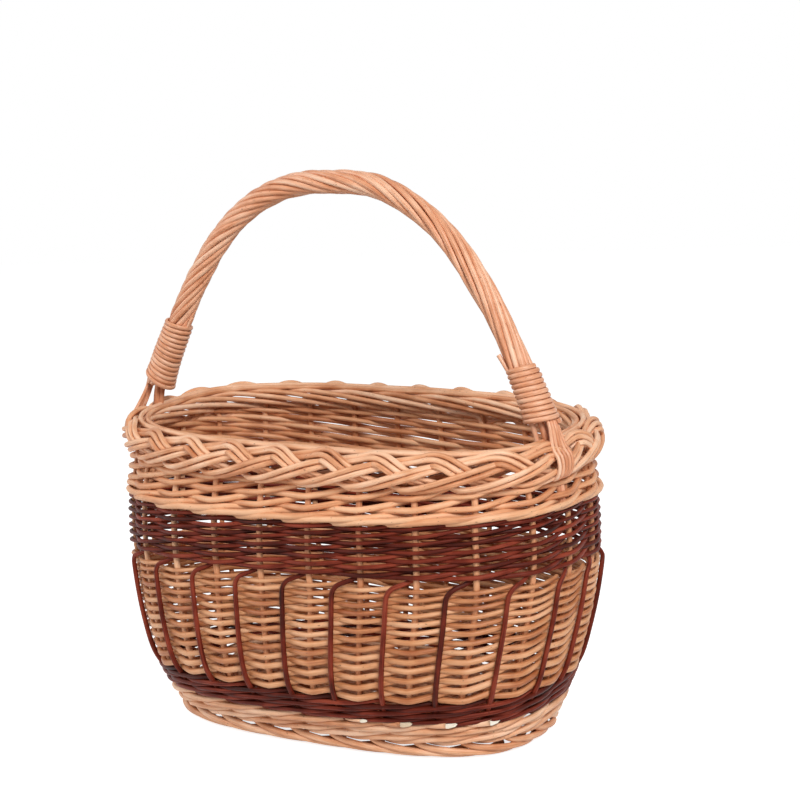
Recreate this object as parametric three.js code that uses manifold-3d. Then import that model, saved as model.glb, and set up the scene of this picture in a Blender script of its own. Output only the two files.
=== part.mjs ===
// Oval wicker shopping basket with a fixed bow handle.
// Millimetres, +Z up, origin on the floor under the middle, long axis along X, front towards -Y.
// Every band of weaving is a closed ring with the band's outer shape. Its inner face has a groove
// for each upright stake, so the stakes stand inside the wall as they do in the woven basket.

import * as THREE from 'three';
import { mergeVertices } from 'three/addons/utils/BufferGeometryUtils.js';
import Module from 'manifold-3d';

const wasm = await Module();
wasm.setup();

// Clearance between pieces that touch on the real basket
const SEAT_GAP = 0.3;

// Plan: every level of the wall is a superellipse
const PLAN_EXPONENT = 2.84;
const STAKE_COUNT = 24;
// Distance of the first stake from the +X end, in stake spacings
const STAKE_PHASE = 0.636;

// Half length and half width of the wall's middle line at the belly, its widest level
const BELLY_HALF_LENGTH = 210;
const BELLY_HALF_WIDTH = 127;

// How far the other levels stand in from the belly, at the two ends and at the two long sides
const FOOT_END_INSET = 47;
const FOOT_SIDE_INSET = 41;
const WALE_END_INSET = 24;
const WALE_SIDE_INSET = 7;
const NECK_END_INSET = 0.5;
const SHOULDER_END_INSET = 4.5;
const SHOULDER_SIDE_INSET = 5;

// Heights of the bands, stacked from the floor up
const FOOT_HEIGHT = 17;
const BOTTOM_WALE_HEIGHT = 16;
const DARK_WALE_HEIGHT = 21;
const LOWER_WEAVE_HEIGHT = 98;
const DARK_BAND_HEIGHT = 46;
const UPPER_WEAVE_HEIGHT = 40;

// How far the rim hangs down at the +X end and at the front, and stands up opposite
const RIM_LEAN = 6;
const RIM_TILT = 11;

// Wall thickness each side of its middle line, at a stake and halfway between two stakes
const WALE_HALF_THICKNESS = 7.5;
const WEAVE_HALF_THICKNESS = 7;
const WEAVE_GAP_HALF_THICKNESS = 2.6;
const BAND_GAP_HALF_THICKNESS = 5;

// Upper weave: a wale below, then rows of weavers with a hollow over each row
const UPPER_WALE_HEIGHT = 11;
const UPPER_ROW_COUNT = 3;
const UPPER_HOLLOW_HALF_THICKNESS = 4;

// Rods
const STAKE_DIAMETER = 5;
const DARK_ROD_DIAMETER = 5;
const DARK_ROD_TUCK = 12;
const GROOVE_SPLAY = 0.5;
const STAKE_SIDES = 5;

// Rolled foot border
const FOOT_WIDTH = 16;
const FOOT_FLAT_WIDTH = 10;
const FOOT_CHAMFER = 5;

// Woven oval base and its sticks
const BASE_THICKNESS = 12;
const CROSS_STICK_COUNT = 7;
const CROSS_STICK_SPACING = 44;
const CROSS_STICK_WIDTH = 10;
const CROSS_STICK_HEIGHT = 8;
const LONG_STICK_COUNT = 3;
const LONG_STICK_SPACING = 28;
const LONG_STICK_WIDTH = 6;
const LONG_STICK_HEIGHT = 3.6;
const STICK_END_INSET = 0.5;

// Plaited border on the rim, and how far its middle line stands in from the shoulder
const BORDER_END_INSET = 5;
const BORDER_SIDE_INSET = 3.5;
const BORDER_HEIGHT = 34;
const BORDER_INNER_RADIUS = 12.5;
const BORDER_SEAT_WIDTH = 6;

// The plait's strands wind over the border's outside, each two rods wide and three on its way down
const PLAIT_STRAND_COUNT = 4;
const PLAIT_INSET = 3;
const PLAIT_ROD_DIAMETER = 4.6;
const PLAIT_REACH = 14.5;
const PLAIT_LAYER = 2.9;
const PLAIT_HURRY = 0.45;
const PLAIT_SWITCH = 0.25;
const PLAIT_EDGE_FALL = 1.2;
const PLAIT_STATIONS = 6;

// Bow handle: its middle along X, how far its ends stand in from the shoulder, its rise,
// and the two stakes beside its legs
const HANDLE_X = -5;
const HANDLE_END_INSET = 3.5;
const HANDLE_RISE = 205;
const HANDLE_FOOT_LIFT = -3;
const HANDLE_POWER = 2.62;
const LEFT_LEG_STAKE = 12;
const RIGHT_LEG_STAKE = 23;
const CORE_DIAMETER = 10;
const CORE_TIP_DIAMETER = 6;
const CORE_TIP_LIFT = 8;
const WRAP_DIAMETER = 21;
const WRAP_FLARE = 1.5;
const LEFT_WRAP_LIFT = 15;
const RIGHT_WRAP_LIFT = 8;

// Binding wound round each foot of the handle
const LEFT_BINDING_TURNS = 14;
const RIGHT_BINDING_TURNS = 11;
const BINDING_PITCH = 4.3;
const BINDING_ROD_WIDTH = 4.2;
const BINDING_ROD_THICKNESS = 3;
const BINDING_LIFT = 2;
const BINDING_LEAST_GAP = 0.4;

// Fan of thin rods from each binding down over the border, and how far its foot stands to the front
const FAN_ROD_COUNT = 5;
const FAN_ROD_DIAMETER = 3.2;
const FAN_ROD_GAP = 0.9;
const FAN_TOP_ANGLE = 25;
const FAN_SHIFT = 8;

const LIGHT_WILLOW = 0xd9a273;
const STAKE_WILLOW = 0xcf9566;
const DARK_WILLOW = 0x55291f;
const HANDLE_WILLOW = 0xdb9a6c;
const ROUGHNESS = 0.55;

// Plans worked out from the belly
const shoulderHalfLength = BELLY_HALF_LENGTH - SHOULDER_END_INSET;
const shoulderHalfWidth = BELLY_HALF_WIDTH - SHOULDER_SIDE_INSET;
const borderHalfLength = shoulderHalfLength - BORDER_END_INSET;
const borderHalfWidth = shoulderHalfWidth - BORDER_SIDE_INSET;
const handleHalfSpan = shoulderHalfLength - HANDLE_END_INSET;

// Levels worked out from the stacked heights
const zFootTop = FOOT_HEIGHT;
const zBottomWaleTop = zFootTop + BOTTOM_WALE_HEIGHT;
const zDarkWaleTop = zBottomWaleTop + DARK_WALE_HEIGHT;
const zBelly = zDarkWaleTop + LOWER_WEAVE_HEIGHT;
const zNeck = zBelly + DARK_BAND_HEIGHT;
const zShoulder = zNeck + UPPER_WEAVE_HEIGHT;
const zBorder = zShoulder + SEAT_GAP + BORDER_HEIGHT / 2;
const zBorderTop = zBorder + BORDER_HEIGHT / 2;

const UP = new THREE.Vector3(0, 0, 1);
const FULL_TURN = 2 * Math.PI;

// A power that keeps the sign of its base
const signedPower = (value, power) => Math.sign(value) * Math.abs(value) ** power;

class Superellipse extends THREE.Curve {
  constructor(halfLength, halfWidth) {
    super();
    this.halfLength = halfLength;
    this.halfWidth = halfWidth;
    this.arcLengthDivisions = 1200;
  }

  getPoint(t, target = new THREE.Vector3()) {
    const angle = FULL_TURN * t;
    const power = 2 / PLAN_EXPONENT;
    const x = this.halfLength * signedPower(Math.cos(angle), power);
    const y = this.halfWidth * signedPower(Math.sin(angle), power);
    return target.set(x, y, 0);
  }

  outward(point) {
    const nx = signedPower(point.x / this.halfLength, PLAN_EXPONENT - 1) / this.halfLength;
    const ny = signedPower(point.y / this.halfWidth, PLAN_EXPONENT - 1) / this.halfWidth;
    return new THREE.Vector3(nx, ny, 0).normalize();
  }
}

// Half length and half width of the wall at any height
const wallProfile = new THREE.CubicInterpolant(
  [0, zDarkWaleTop, zBelly, zNeck, zShoulder],
  [
    BELLY_HALF_LENGTH - FOOT_END_INSET, BELLY_HALF_WIDTH - FOOT_SIDE_INSET,
    BELLY_HALF_LENGTH - WALE_END_INSET, BELLY_HALF_WIDTH - WALE_SIDE_INSET,
    BELLY_HALF_LENGTH, BELLY_HALF_WIDTH,
    BELLY_HALF_LENGTH - NECK_END_INSET, BELLY_HALF_WIDTH,
    shoulderHalfLength, shoulderHalfWidth,
  ],
  2,
);

const bellyPlan = new Superellipse(BELLY_HALF_LENGTH, BELLY_HALF_WIDTH);
const borderPlan = new Superellipse(borderHalfLength, borderHalfWidth);

// Curve parameter of a place counted in stakes: whole numbers are stakes, halves lie between them
function planParameter(stake) {
  const turn = (stake + STAKE_PHASE) / STAKE_COUNT;
  return bellyPlan.getUtoTmapping(turn - Math.floor(turn));
}

// Drop of the leaning rim at a place and height
function leanAt(x, y, z) {
  const share = THREE.MathUtils.clamp((z - zNeck) / (zShoulder - zNeck), 0, 1);
  return share * (RIM_LEAN * x / borderHalfLength - RIM_TILT * y / borderHalfWidth);
}

function wallPlan(z) {
  const [halfLength, halfWidth] = wallProfile.evaluate(z);
  return new Superellipse(halfLength, halfWidth);
}

// Point of the wall at a stake place and a height, moved outwards and along the wall by two distances
function wallPoint(stake, z, outside, along = 0) {
  const plan = wallPlan(z);
  const point = plan.getPoint(planParameter(stake));
  const outward = plan.outward(point);
  const forward = new THREE.Vector3().crossVectors(UP, outward);
  point.addScaledVector(outward, outside);
  point.addScaledVector(forward, along);
  point.z = z - leanAt(point.x, point.y, z);
  return point;
}

// Mesh over a row of cross-sections: a closed row makes a ring, an open one gets end caps
function loft(sections, closed) {
  const sides = sections[0].length;
  const positions = sections.flat().flatMap((point) => [point.x, point.y, point.z]);
  const triangles = [];
  const rows = closed ? sections.length : sections.length - 1;
  for (let row = 0; row < rows; row += 1) {
    const next = (row + 1) % sections.length;
    for (let side = 0; side < sides; side += 1) {
      const a = row * sides + side;
      const b = row * sides + (side + 1) % sides;
      const c = next * sides + (side + 1) % sides;
      const d = next * sides + side;
      triangles.push([a, b, c], [a, c, d]);
    }
  }
  if (!closed) {
    const last = (sections.length - 1) * sides;
    for (let side = 1; side < sides - 1; side += 1) {
      triangles.push([0, side + 1, side], [last, last + side, last + side + 1]);
    }
  }
  const corner = (index) => new THREE.Vector3().fromArray(positions, 3 * index);
  const volume = triangles.reduce(
    (sum, [a, b, c]) => sum + corner(a).dot(corner(b).cross(corner(c))), 0);
  const outward = triangles.map(([a, b, c]) => (volume > 0 ? [a, b, c] : [a, c, b]));
  const geometry = new THREE.BufferGeometry();
  geometry.setAttribute('position', new THREE.Float32BufferAttribute(positions, 3));
  geometry.setIndex(outward.flat());
  return geometry;
}

// Round rod along a curve, with the radius given by the share of its length
function rod(curve, steps, sides, radiusAt) {
  const frames = curve.computeFrenetFrames(steps, false);
  const sections = [];
  for (let step = 0; step <= steps; step += 1) {
    const centre = curve.getPointAt(step / steps);
    const radius = radiusAt(step / steps);
    const section = [];
    for (let side = 0; side < sides; side += 1) {
      const angle = FULL_TURN * side / sides;
      const point = centre.clone();
      point.addScaledVector(frames.normals[step], radius * Math.cos(angle));
      point.addScaledVector(frames.binormals[step], radius * Math.sin(angle));
      section.push(point);
    }
    sections.push(section);
  }
  return loft(sections, false);
}

function toManifold(geometry) {
  const bare = geometry.clone();
  bare.deleteAttribute('normal');
  bare.deleteAttribute('uv');
  const merged = mergeVertices(bare);
  return new wasm.Manifold(new wasm.Mesh({
    numProp: 3,
    vertProperties: new Float32Array(merged.attributes.position.array),
    triVerts: new Uint32Array(merged.index.array),
  }));
}

function fromManifold(solid) {
  const mesh = solid.getMesh();
  const geometry = new THREE.BufferGeometry();
  geometry.setAttribute('position', new THREE.Float32BufferAttribute(mesh.vertProperties, 3));
  geometry.setIndex(Array.from(mesh.triVerts));
  return geometry;
}

function cut(geometry, cutters) {
  const solid = cutters.reduce((rest, cutter) => rest.subtract(toManifold(cutter)), toManifold(geometry));
  return fromManifold(solid);
}

function trim(geometry, room) {
  return fromManifold(toManifold(geometry).intersect(toManifold(room)));
}

function join(geometry, others) {
  const solid = others.reduce((whole, other) => whole.add(toManifold(other)), toManifold(geometry));
  return fromManifold(solid);
}

const basket = new THREE.Group();

function addPart(name, geometry, color) {
  const material = new THREE.MeshStandardMaterial({ color, roughness: ROUGHNESS, metalness: 0 });
  geometry.computeVertexNormals();
  const mesh = new THREE.Mesh(geometry, material);
  mesh.name = name;
  basket.add(mesh);
}

const number = (index) => String(index + 1).padStart(2, '0');

// Stakes

const stakeRadius = STAKE_DIAMETER / 2;
const zLowerMiddle = (zDarkWaleTop + zBelly) / 2;
const stakeLevels = [
  zFootTop + SEAT_GAP,
  zBottomWaleTop,
  zDarkWaleTop,
  zLowerMiddle,
  zBelly,
  zNeck,
  zShoulder,
];

function stakeGeometry(stake) {
  const sections = stakeLevels.map((z) => {
    const section = [];
    for (let side = 0; side < STAKE_SIDES; side += 1) {
      const angle = FULL_TURN * side / STAKE_SIDES;
      const outside = stakeRadius * Math.cos(angle);
      section.push(wallPoint(stake, z, outside, stakeRadius * Math.sin(angle)));
    }
    return section;
  });
  return loft(sections, false);
}

for (let stake = 0; stake < STAKE_COUNT; stake += 1) {
  addPart(`stake_${number(stake)}`, stakeGeometry(stake), STAKE_WILLOW);
}

// Bands of weaving

// Half width of a stake's groove at its floor and at its mouth
const grooveFloor = stakeRadius + SEAT_GAP;
const grooveMouth = grooveFloor + GROOVE_SPLAY;

// Ring of weaving from the rows of its outer and of its inner face, from below upwards. A row holds a
// height, the thickness at the stakes and the thickness between them. The gaps before the full stakes
// are as thick as the stakes' places.
function bandGeometry(outerRows, innerRows, fullStakes = []) {
  const sections = [];
  const addSection = (place, along, outer, inner) => {
    const up = outerRows.map((row) => wallPoint(place, row.z, outer(row), along));
    const down = innerRows.map((row) => wallPoint(place, row.z, inner(row), along)).reverse();
    sections.push([...up, ...down]);
  };
  const outside = (row) => row.atStake;
  const inside = (row) => -row.atStake;
  const groove = () => grooveFloor;
  for (let stake = 0; stake < STAKE_COUNT; stake += 1) {
    const gap = (row) => (fullStakes.includes(stake) ? WEAVE_HALF_THICKNESS : row.atGap);
    addSection(stake - 0.5, 0, gap, (row) => -gap(row));
    addSection(stake, -grooveMouth, outside, inside);
    addSection(stake, -grooveFloor, outside, groove);
    addSection(stake, grooveFloor, outside, groove);
    addSection(stake, grooveMouth, outside, inside);
  }
  return loft(sections, true);
}

// Ring of weaving with the same thickness at all its heights
function plainBand(levels, atStake, atGap) {
  const rows = levels.map((z) => ({ z, atStake, atGap }));
  return bandGeometry(rows, rows);
}

const bottomWaleLevels = [zFootTop + SEAT_GAP, zBottomWaleTop];
const darkWaleLevels = [zBottomWaleTop + SEAT_GAP, zDarkWaleTop];
const lowerWeaveLevels = [zDarkWaleTop + SEAT_GAP, zLowerMiddle, zBelly];
const darkBandLevels = [zBelly + SEAT_GAP, zNeck];

addPart(
  'bottom_wale',
  plainBand(bottomWaleLevels, WALE_HALF_THICKNESS, WALE_HALF_THICKNESS),
  LIGHT_WILLOW);
addPart(
  'dark_wale',
  plainBand(darkWaleLevels, WALE_HALF_THICKNESS, WALE_HALF_THICKNESS),
  DARK_WILLOW);
addPart(
  'lower_weave',
  plainBand(lowerWeaveLevels, WEAVE_HALF_THICKNESS, WEAVE_GAP_HALF_THICKNESS),
  LIGHT_WILLOW);

// The dark rods stand on the dark wale in the hollows between the stakes, and run into the dark band
const darkRodRadius = DARK_ROD_DIAMETER / 2;
const darkRodOutside = WEAVE_GAP_HALF_THICKNESS + SEAT_GAP + darkRodRadius;

function darkRodGeometry(stake) {
  const rows = [
    [zDarkWaleTop + SEAT_GAP, darkRodOutside],
    [zLowerMiddle, darkRodOutside],
    [zBelly, darkRodOutside],
    [zBelly + DARK_ROD_TUCK, BAND_GAP_HALF_THICKNESS - darkRodRadius],
  ];
  const sections = rows.map(([z, middle]) => {
    const section = [];
    for (let side = 0; side < STAKE_SIDES; side += 1) {
      const angle = FULL_TURN * (side + 0.5) / STAKE_SIDES;
      const outside = middle + darkRodRadius * Math.cos(angle);
      section.push(wallPoint(stake + 0.5, z, outside, darkRodRadius * Math.sin(angle)));
    }
    return section;
  });
  return loft(sections, false);
}

const darkRods = Array.from({ length: STAKE_COUNT }, (_, stake) => darkRodGeometry(stake));
const darkRing = plainBand(darkBandLevels, WEAVE_HALF_THICKNESS, BAND_GAP_HALF_THICKNESS);
addPart('dark_band', join(darkRing, darkRods), DARK_WILLOW);

// Foot border

function footGeometry() {
  const half = FOOT_WIDTH / 2;
  const flat = FOOT_FLAT_WIDTH / 2;
  const profile = [
    [-flat, 0],
    [flat, 0],
    [half, FOOT_CHAMFER],
    [half, FOOT_HEIGHT - FOOT_CHAMFER],
    [flat, FOOT_HEIGHT],
    [-flat, FOOT_HEIGHT],
    [-half, FOOT_HEIGHT - FOOT_CHAMFER],
    [-half, FOOT_CHAMFER],
  ];
  const sections = [];
  for (let step = 0; step < 2 * STAKE_COUNT; step += 1) {
    sections.push(profile.map(([outside, z]) => wallPoint(step / 2, z, outside)));
  }
  return loft(sections, true);
}

addPart('foot_border', footGeometry(), LIGHT_WILLOW);

// Woven base with its sticks

const zBaseTop = zBottomWaleTop;
const zBaseBottom = zBaseTop - BASE_THICKNESS;
const zSticks = (zBaseBottom + zBaseTop) / 2;
const baseInset = WALE_HALF_THICKNESS + SEAT_GAP;
const stickReach = 3 * BELLY_HALF_LENGTH;

// Plain slab of the base's outline, drawn in from the wall by a distance
function slabGeometry(inset) {
  const sections = [zBaseBottom, zBaseTop].map((z) => {
    const outline = [];
    for (let step = 0; step < 2 * STAKE_COUNT; step += 1) {
      outline.push(wallPoint(step / 2, z, -inset));
    }
    return outline;
  });
  return loft(sections, false);
}

function centredRow(count, spacing) {
  return Array.from({ length: count }, (_, index) => (index - (count - 1) / 2) * spacing);
}

function barGeometry(lengthX, lengthY, height, x, y) {
  return new THREE.BoxGeometry(lengthX, lengthY, height).translate(x, y, zSticks);
}

const play = 2 * SEAT_GAP;
const crossPlaces = centredRow(CROSS_STICK_COUNT, CROSS_STICK_SPACING);
const longPlaces = centredRow(LONG_STICK_COUNT, LONG_STICK_SPACING);
const crossTunnels = crossPlaces.map((x) => barGeometry(
  CROSS_STICK_WIDTH + play, stickReach, CROSS_STICK_HEIGHT + play, x, 0));
const longTunnels = longPlaces.map((y) => barGeometry(
  stickReach, LONG_STICK_WIDTH + play, LONG_STICK_HEIGHT + play, 0, y));

addPart('base_weave', cut(slabGeometry(baseInset), [...crossTunnels, ...longTunnels]), LIGHT_WILLOW);

// The sticks end a little inside the edge of the weave
const stickRoom = slabGeometry(baseInset + STICK_END_INSET);

crossPlaces.forEach((x, index) => {
  const bar = barGeometry(CROSS_STICK_WIDTH, stickReach, CROSS_STICK_HEIGHT, x, 0);
  addPart(`base_cross_stick_${index + 1}`, cut(trim(bar, stickRoom), longTunnels), STAKE_WILLOW);
});

longPlaces.forEach((y, index) => {
  const bar = barGeometry(stickReach, LONG_STICK_WIDTH, LONG_STICK_HEIGHT, 0, y);
  addPart(`base_long_stick_${index + 1}`, trim(bar, stickRoom), STAKE_WILLOW);
});

// Handle line: a leg inside the wall at each end and the bow between them

const zHandleFoot = zBorderTop + HANDLE_FOOT_LIFT;

// Each leg stands in the wall just before its stake
const legClearance = stakeRadius + SEAT_GAP + CORE_DIAMETER / 2;
const leftLegY = wallPoint(LEFT_LEG_STAKE, zShoulder, 0, -legClearance).y;
const rightLegY = wallPoint(RIGHT_LEG_STAKE, zShoulder, 0, -legClearance).y;
const legY = (end) => (end < 0 ? leftLegY : rightLegY);

function bowPoint(share) {
  const x = HANDLE_X + handleHalfSpan * share;
  const y = THREE.MathUtils.lerp(leftLegY, rightLegY, (1 + share) / 2);
  const rise = HANDLE_RISE * (1 - Math.abs(share) ** HANDLE_POWER);
  return new THREE.Vector3(x, y, zHandleFoot + rise - leanAt(x, y, zHandleFoot));
}

// Place of a leg in the wall at a height
function legPoint(end, z) {
  const plan = wallPlan(Math.min(z, zShoulder));
  const y = legY(end);
  const share = Math.abs(y) / plan.halfWidth;
  const x = end * plan.halfLength * (1 - share ** PLAN_EXPONENT) ** (1 / PLAN_EXPONENT);
  return new THREE.Vector3(x, y, z - leanAt(x, y, z));
}

const BOW_SHARES = [-0.97, -0.85, -0.7, -0.5, -0.25, 0, 0.25, 0.5, 0.7, 0.85, 0.97];
const handleLine = new THREE.CatmullRomCurve3([
  legPoint(-1, zNeck + CORE_TIP_LIFT),
  legPoint(-1, zShoulder),
  ...BOW_SHARES.map(bowPoint),
  legPoint(1, zShoulder),
  legPoint(1, zNeck + CORE_TIP_LIFT),
]);
const handleLength = handleLine.getLength();

// Length along the handle line where it is a lift above the border's top, from either end
function handlePlace(end, lift) {
  const steps = 600;
  for (let step = 0; step <= steps / 2; step += 1) {
    const share = end < 0 ? step / steps : 1 - step / steps;
    const point = handleLine.getPointAt(share);
    if (point.z > zBorderTop + lift - leanAt(point.x, point.y, zBorderTop)) {
      return share * handleLength;
    }
  }
  return end < 0 ? 0 : handleLength;
}

const wrapStart = handlePlace(-1, LEFT_WRAP_LIFT);
const wrapEnd = handlePlace(1, RIGHT_WRAP_LIFT);
const leftFlareLength = LEFT_BINDING_TURNS * BINDING_PITCH + 3 * BINDING_LIFT;
const rightFlareLength = RIGHT_BINDING_TURNS * BINDING_PITCH + 3 * BINDING_LIFT;

const SIDE = new THREE.Vector3(0, 1, 0);

// Point round the handle line at a place along it, an angle from its outer side and a radius
function handlePoint(place, angle, radius) {
  const share = THREE.MathUtils.clamp(place / handleLength, 0, 1);
  const tangent = handleLine.getTangentAt(share);
  const outer = new THREE.Vector3().crossVectors(SIDE, tangent).negate();
  const point = handleLine.getPointAt(share);
  point.addScaledVector(outer, radius * Math.cos(angle));
  return point.addScaledVector(SIDE, radius * Math.sin(angle));
}

const HANDLE_SIDES = 10;
const LEG_STEPS = 5;
const FLARE_STEPS = 5;
const BOW_STEPS = 16;

// Evenly spaced places from one place up to and including another
function placesBetween(first, last, steps) {
  const places = [];
  for (let step = 0; step <= steps; step += 1) {
    places.push(THREE.MathUtils.lerp(first, last, step / steps));
  }
  return places;
}

const bowPlaces = [
  ...placesBetween(wrapStart, wrapStart + leftFlareLength, FLARE_STEPS),
  ...placesBetween(wrapStart + leftFlareLength, wrapEnd - rightFlareLength, BOW_STEPS).slice(1, -1),
  ...placesBetween(wrapEnd - rightFlareLength, wrapEnd, FLARE_STEPS),
];
const corePlaces = [
  ...placesBetween(0, wrapStart, LEG_STEPS).slice(0, -1),
  ...bowPlaces,
  ...placesBetween(wrapEnd, handleLength, LEG_STEPS).slice(1),
];

// Core of the bow, with its two ends sharpened to go down into the wall
function coreRadius(place) {
  const toTip = Math.min(place / wrapStart, (handleLength - place) / (handleLength - wrapEnd), 1);
  return THREE.MathUtils.lerp(CORE_TIP_DIAMETER, CORE_DIAMETER, toTip) / 2;
}

function coreGeometry(clearance) {
  const sections = corePlaces.map((place) => {
    const section = [];
    for (let side = 0; side < HANDLE_SIDES; side += 1) {
      const angle = FULL_TURN * side / HANDLE_SIDES;
      section.push(handlePoint(place, angle, coreRadius(place) + clearance));
    }
    return section;
  });
  return loft(sections, false);
}

const coreSocket = coreGeometry(SEAT_GAP);
addPart('handle_core', coreGeometry(0), HANDLE_WILLOW);

// Upper weave: the wale is as thick all round, the rows above it bulge at the stakes
const zUpperWaleTop = zNeck + UPPER_WALE_HEIGHT;

function upperWeaveGeometry() {
  const wale = { atStake: WEAVE_HALF_THICKNESS, atGap: WEAVE_HALF_THICKNESS };
  const ridge = { atStake: WEAVE_HALF_THICKNESS, atGap: WEAVE_GAP_HALF_THICKNESS };
  const hollow = { atStake: UPPER_HOLLOW_HALF_THICKNESS, atGap: WEAVE_GAP_HALF_THICKNESS };
  const rowHeight = (zShoulder - zUpperWaleTop) / UPPER_ROW_COUNT;
  const waleRows = [{ z: zNeck + SEAT_GAP, ...wale }, { z: zUpperWaleTop, ...wale }];
  const outerRows = [...waleRows];
  for (let row = 0; row < UPPER_ROW_COUNT; row += 1) {
    const z = zUpperWaleTop + row * rowHeight;
    outerRows.push({ z: z + rowHeight / 8, ...hollow }, { z: z + rowHeight / 2, ...ridge });
  }
  outerRows.push({ z: zShoulder, ...hollow });
  const innerRows = [...waleRows, { z: zShoulder, ...ridge }];
  return bandGeometry(outerRows, innerRows, [LEFT_LEG_STAKE, RIGHT_LEG_STAKE]);
}

addPart('upper_weave', cut(upperWeaveGeometry(), [coreSocket]), LIGHT_WILLOW);

// Plaited border on the rim

const plaitRodRadius = PLAIT_ROD_DIAMETER / 2;
const plaitBendRadius = BORDER_HEIGHT / 2 - PLAIT_INSET;
const plaitOuterRadius = plaitBendRadius + PLAIT_LAYER + plaitRodRadius;
const rimSpacing = borderPlan.getLength() / STAKE_COUNT;

// Point near the border: a place along the rim, moved outwards and up from the border's middle line
function borderPoint(parameter, outside, lift) {
  const point = borderPlan.getPoint(parameter - Math.floor(parameter));
  point.addScaledVector(borderPlan.outward(point), outside);
  point.z = zBorder + lift - leanAt(point.x, point.y, zBorder);
  return point;
}

// Height of the plait over its bend, at a place along the rim and a distance across the plait.
// Each strand climbs slowly and drops quickly, over its neighbours above and under them below.
function plaitRelief(place, across) {
  let relief = -PLAIT_LAYER - plaitRodRadius;
  for (let strand = 0; strand < PLAIT_STRAND_COUNT; strand += 1) {
    const turn = FULL_TURN * (place + strand) / PLAIT_STRAND_COUNT;
    const phase = turn + PLAIT_HURRY * Math.sin(turn);
    const hurry = 1 + PLAIT_HURRY * Math.cos(turn);
    const height = -Math.sin(phase);
    const slope = PLAIT_REACH * Math.cos(phase) * hurry * FULL_TURN / PLAIT_STRAND_COUNT / rimSpacing;
    const layer = PLAIT_LAYER * Math.tanh(4 * (height - PLAIT_SWITCH) * Math.cos(phase));
    const beside = (across - PLAIT_REACH * height) / Math.hypot(1, slope);
    const drops = Math.cos(phase) > 0;
    const halfWidth = beside < 0 && drops ? 2 * PLAIT_ROD_DIAMETER : PLAIT_ROD_DIAMETER;
    const fall = PLAIT_EDGE_FALL * Math.max(Math.abs(beside) - halfWidth, 0);
    relief = Math.max(relief, layer + plaitRodRadius - fall);
  }
  return relief;
}

// Distances across the plait, in shares of its reach, and angles of the border's inner side
const PLAIT_SHARES = [-1.2, -0.93, -0.62, -0.31, 0, 0.31, 0.62, 0.93, 1.24];
const INNER_ANGLES = [150, 210];
const BORDER_TOP_ANGLE = 105;

function borderGeometry() {
  const sections = [];
  const seat = -BORDER_HEIGHT / 2;
  const polar = (degrees, radius) => {
    const angle = THREE.MathUtils.degToRad(degrees);
    return [radius * Math.cos(angle), radius * Math.sin(angle)];
  };
  const inside = [
    polar(BORDER_TOP_ANGLE, plaitBendRadius + plaitRodRadius),
    ...INNER_ANGLES.map((degrees) => polar(degrees, BORDER_INNER_RADIUS)),
    [-BORDER_SEAT_WIDTH, seat],
    [0, seat],
  ];
  for (let step = 0; step < PLAIT_STATIONS * STAKE_COUNT; step += 1) {
    const place = step / PLAIT_STATIONS;
    const outside = PLAIT_SHARES.map((share) => {
      const across = share * PLAIT_REACH;
      const angle = across / plaitBendRadius;
      const radius = plaitBendRadius + plaitRelief(place, across);
      return [radius * Math.cos(angle), Math.max(radius * Math.sin(angle), seat)];
    });
    const parameter = planParameter(place);
    sections.push([...outside, ...inside].map(([out, lift]) => borderPoint(parameter, out, lift)));
  }
  return loft(sections, true);
}

addPart('rim_border', cut(borderGeometry(), [coreSocket]), LIGHT_WILLOW);

// Roped rods of the handle, as one sleeve round the core that flares towards its feet

function wrapRadius(place) {
  const fromLeft = (place - wrapStart) / leftFlareLength;
  const fromRight = (wrapEnd - place) / rightFlareLength;
  const share = THREE.MathUtils.clamp(1 - Math.min(fromLeft, fromRight), 0, 1);
  return WRAP_DIAMETER / 2 + WRAP_FLARE * share;
}

function wrapGeometry() {
  const boreRadius = CORE_DIAMETER / 2 + SEAT_GAP;
  const sections = [];
  for (let side = 0; side < HANDLE_SIDES; side += 1) {
    const angle = FULL_TURN * side / HANDLE_SIDES;
    const out = bowPlaces.map((place) => handlePoint(place, angle, wrapRadius(place)));
    const back = bowPlaces.map((place) => handlePoint(place, angle, boreRadius)).reverse();
    sections.push([...out, ...back]);
  }
  return loft(sections, true);
}

addPart('handle_wrap', wrapGeometry(), HANDLE_WILLOW);

// Bindings: one flat rod wound round each foot of the handle

const BINDING_STEPS = 14;
const BINDING_SIDES = 6;

// Sections of the wound rod, each an oval that lies flat on the sleeve
function bindingSections(end) {
  const first = end < 0 ? wrapStart + BINDING_LIFT : wrapEnd - BINDING_LIFT;
  const turns = end < 0 ? LEFT_BINDING_TURNS : RIGHT_BINDING_TURNS;
  const centres = [];
  for (let step = 0; step <= turns * BINDING_STEPS; step += 1) {
    const angle = FULL_TURN * step / BINDING_STEPS;
    const place = first - end * BINDING_PITCH * step / BINDING_STEPS;
    const seat = wrapRadius(place) + SEAT_GAP + BINDING_ROD_THICKNESS / 2;
    centres.push({ place, angle, radius: seat / Math.cos(Math.PI / BINDING_STEPS) });
  }
  const sections = centres.map(({ place, angle, radius }) => {
    const section = [];
    for (let side = 0; side < BINDING_SIDES; side += 1) {
      const turn = FULL_TURN * side / BINDING_SIDES;
      const along = BINDING_ROD_WIDTH / 2 * Math.sin(turn);
      const away = BINDING_ROD_THICKNESS / 2 * Math.cos(turn);
      section.push(handlePoint(place + along, angle, radius + away));
    }
    return section;
  });
  const straightOn = (from, to) => {
    const middle = (section) => section.reduce((sum, point) => sum.add(point), new THREE.Vector3());
    const run = middle(to).sub(middle(from)).setLength(BINDING_ROD_WIDTH);
    return to.map((point) => point.clone().add(run));
  };
  const tail = straightOn(sections.at(-2), sections.at(-1));
  return [straightOn(sections[1], sections[0]), ...sections, tail];
}

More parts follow.
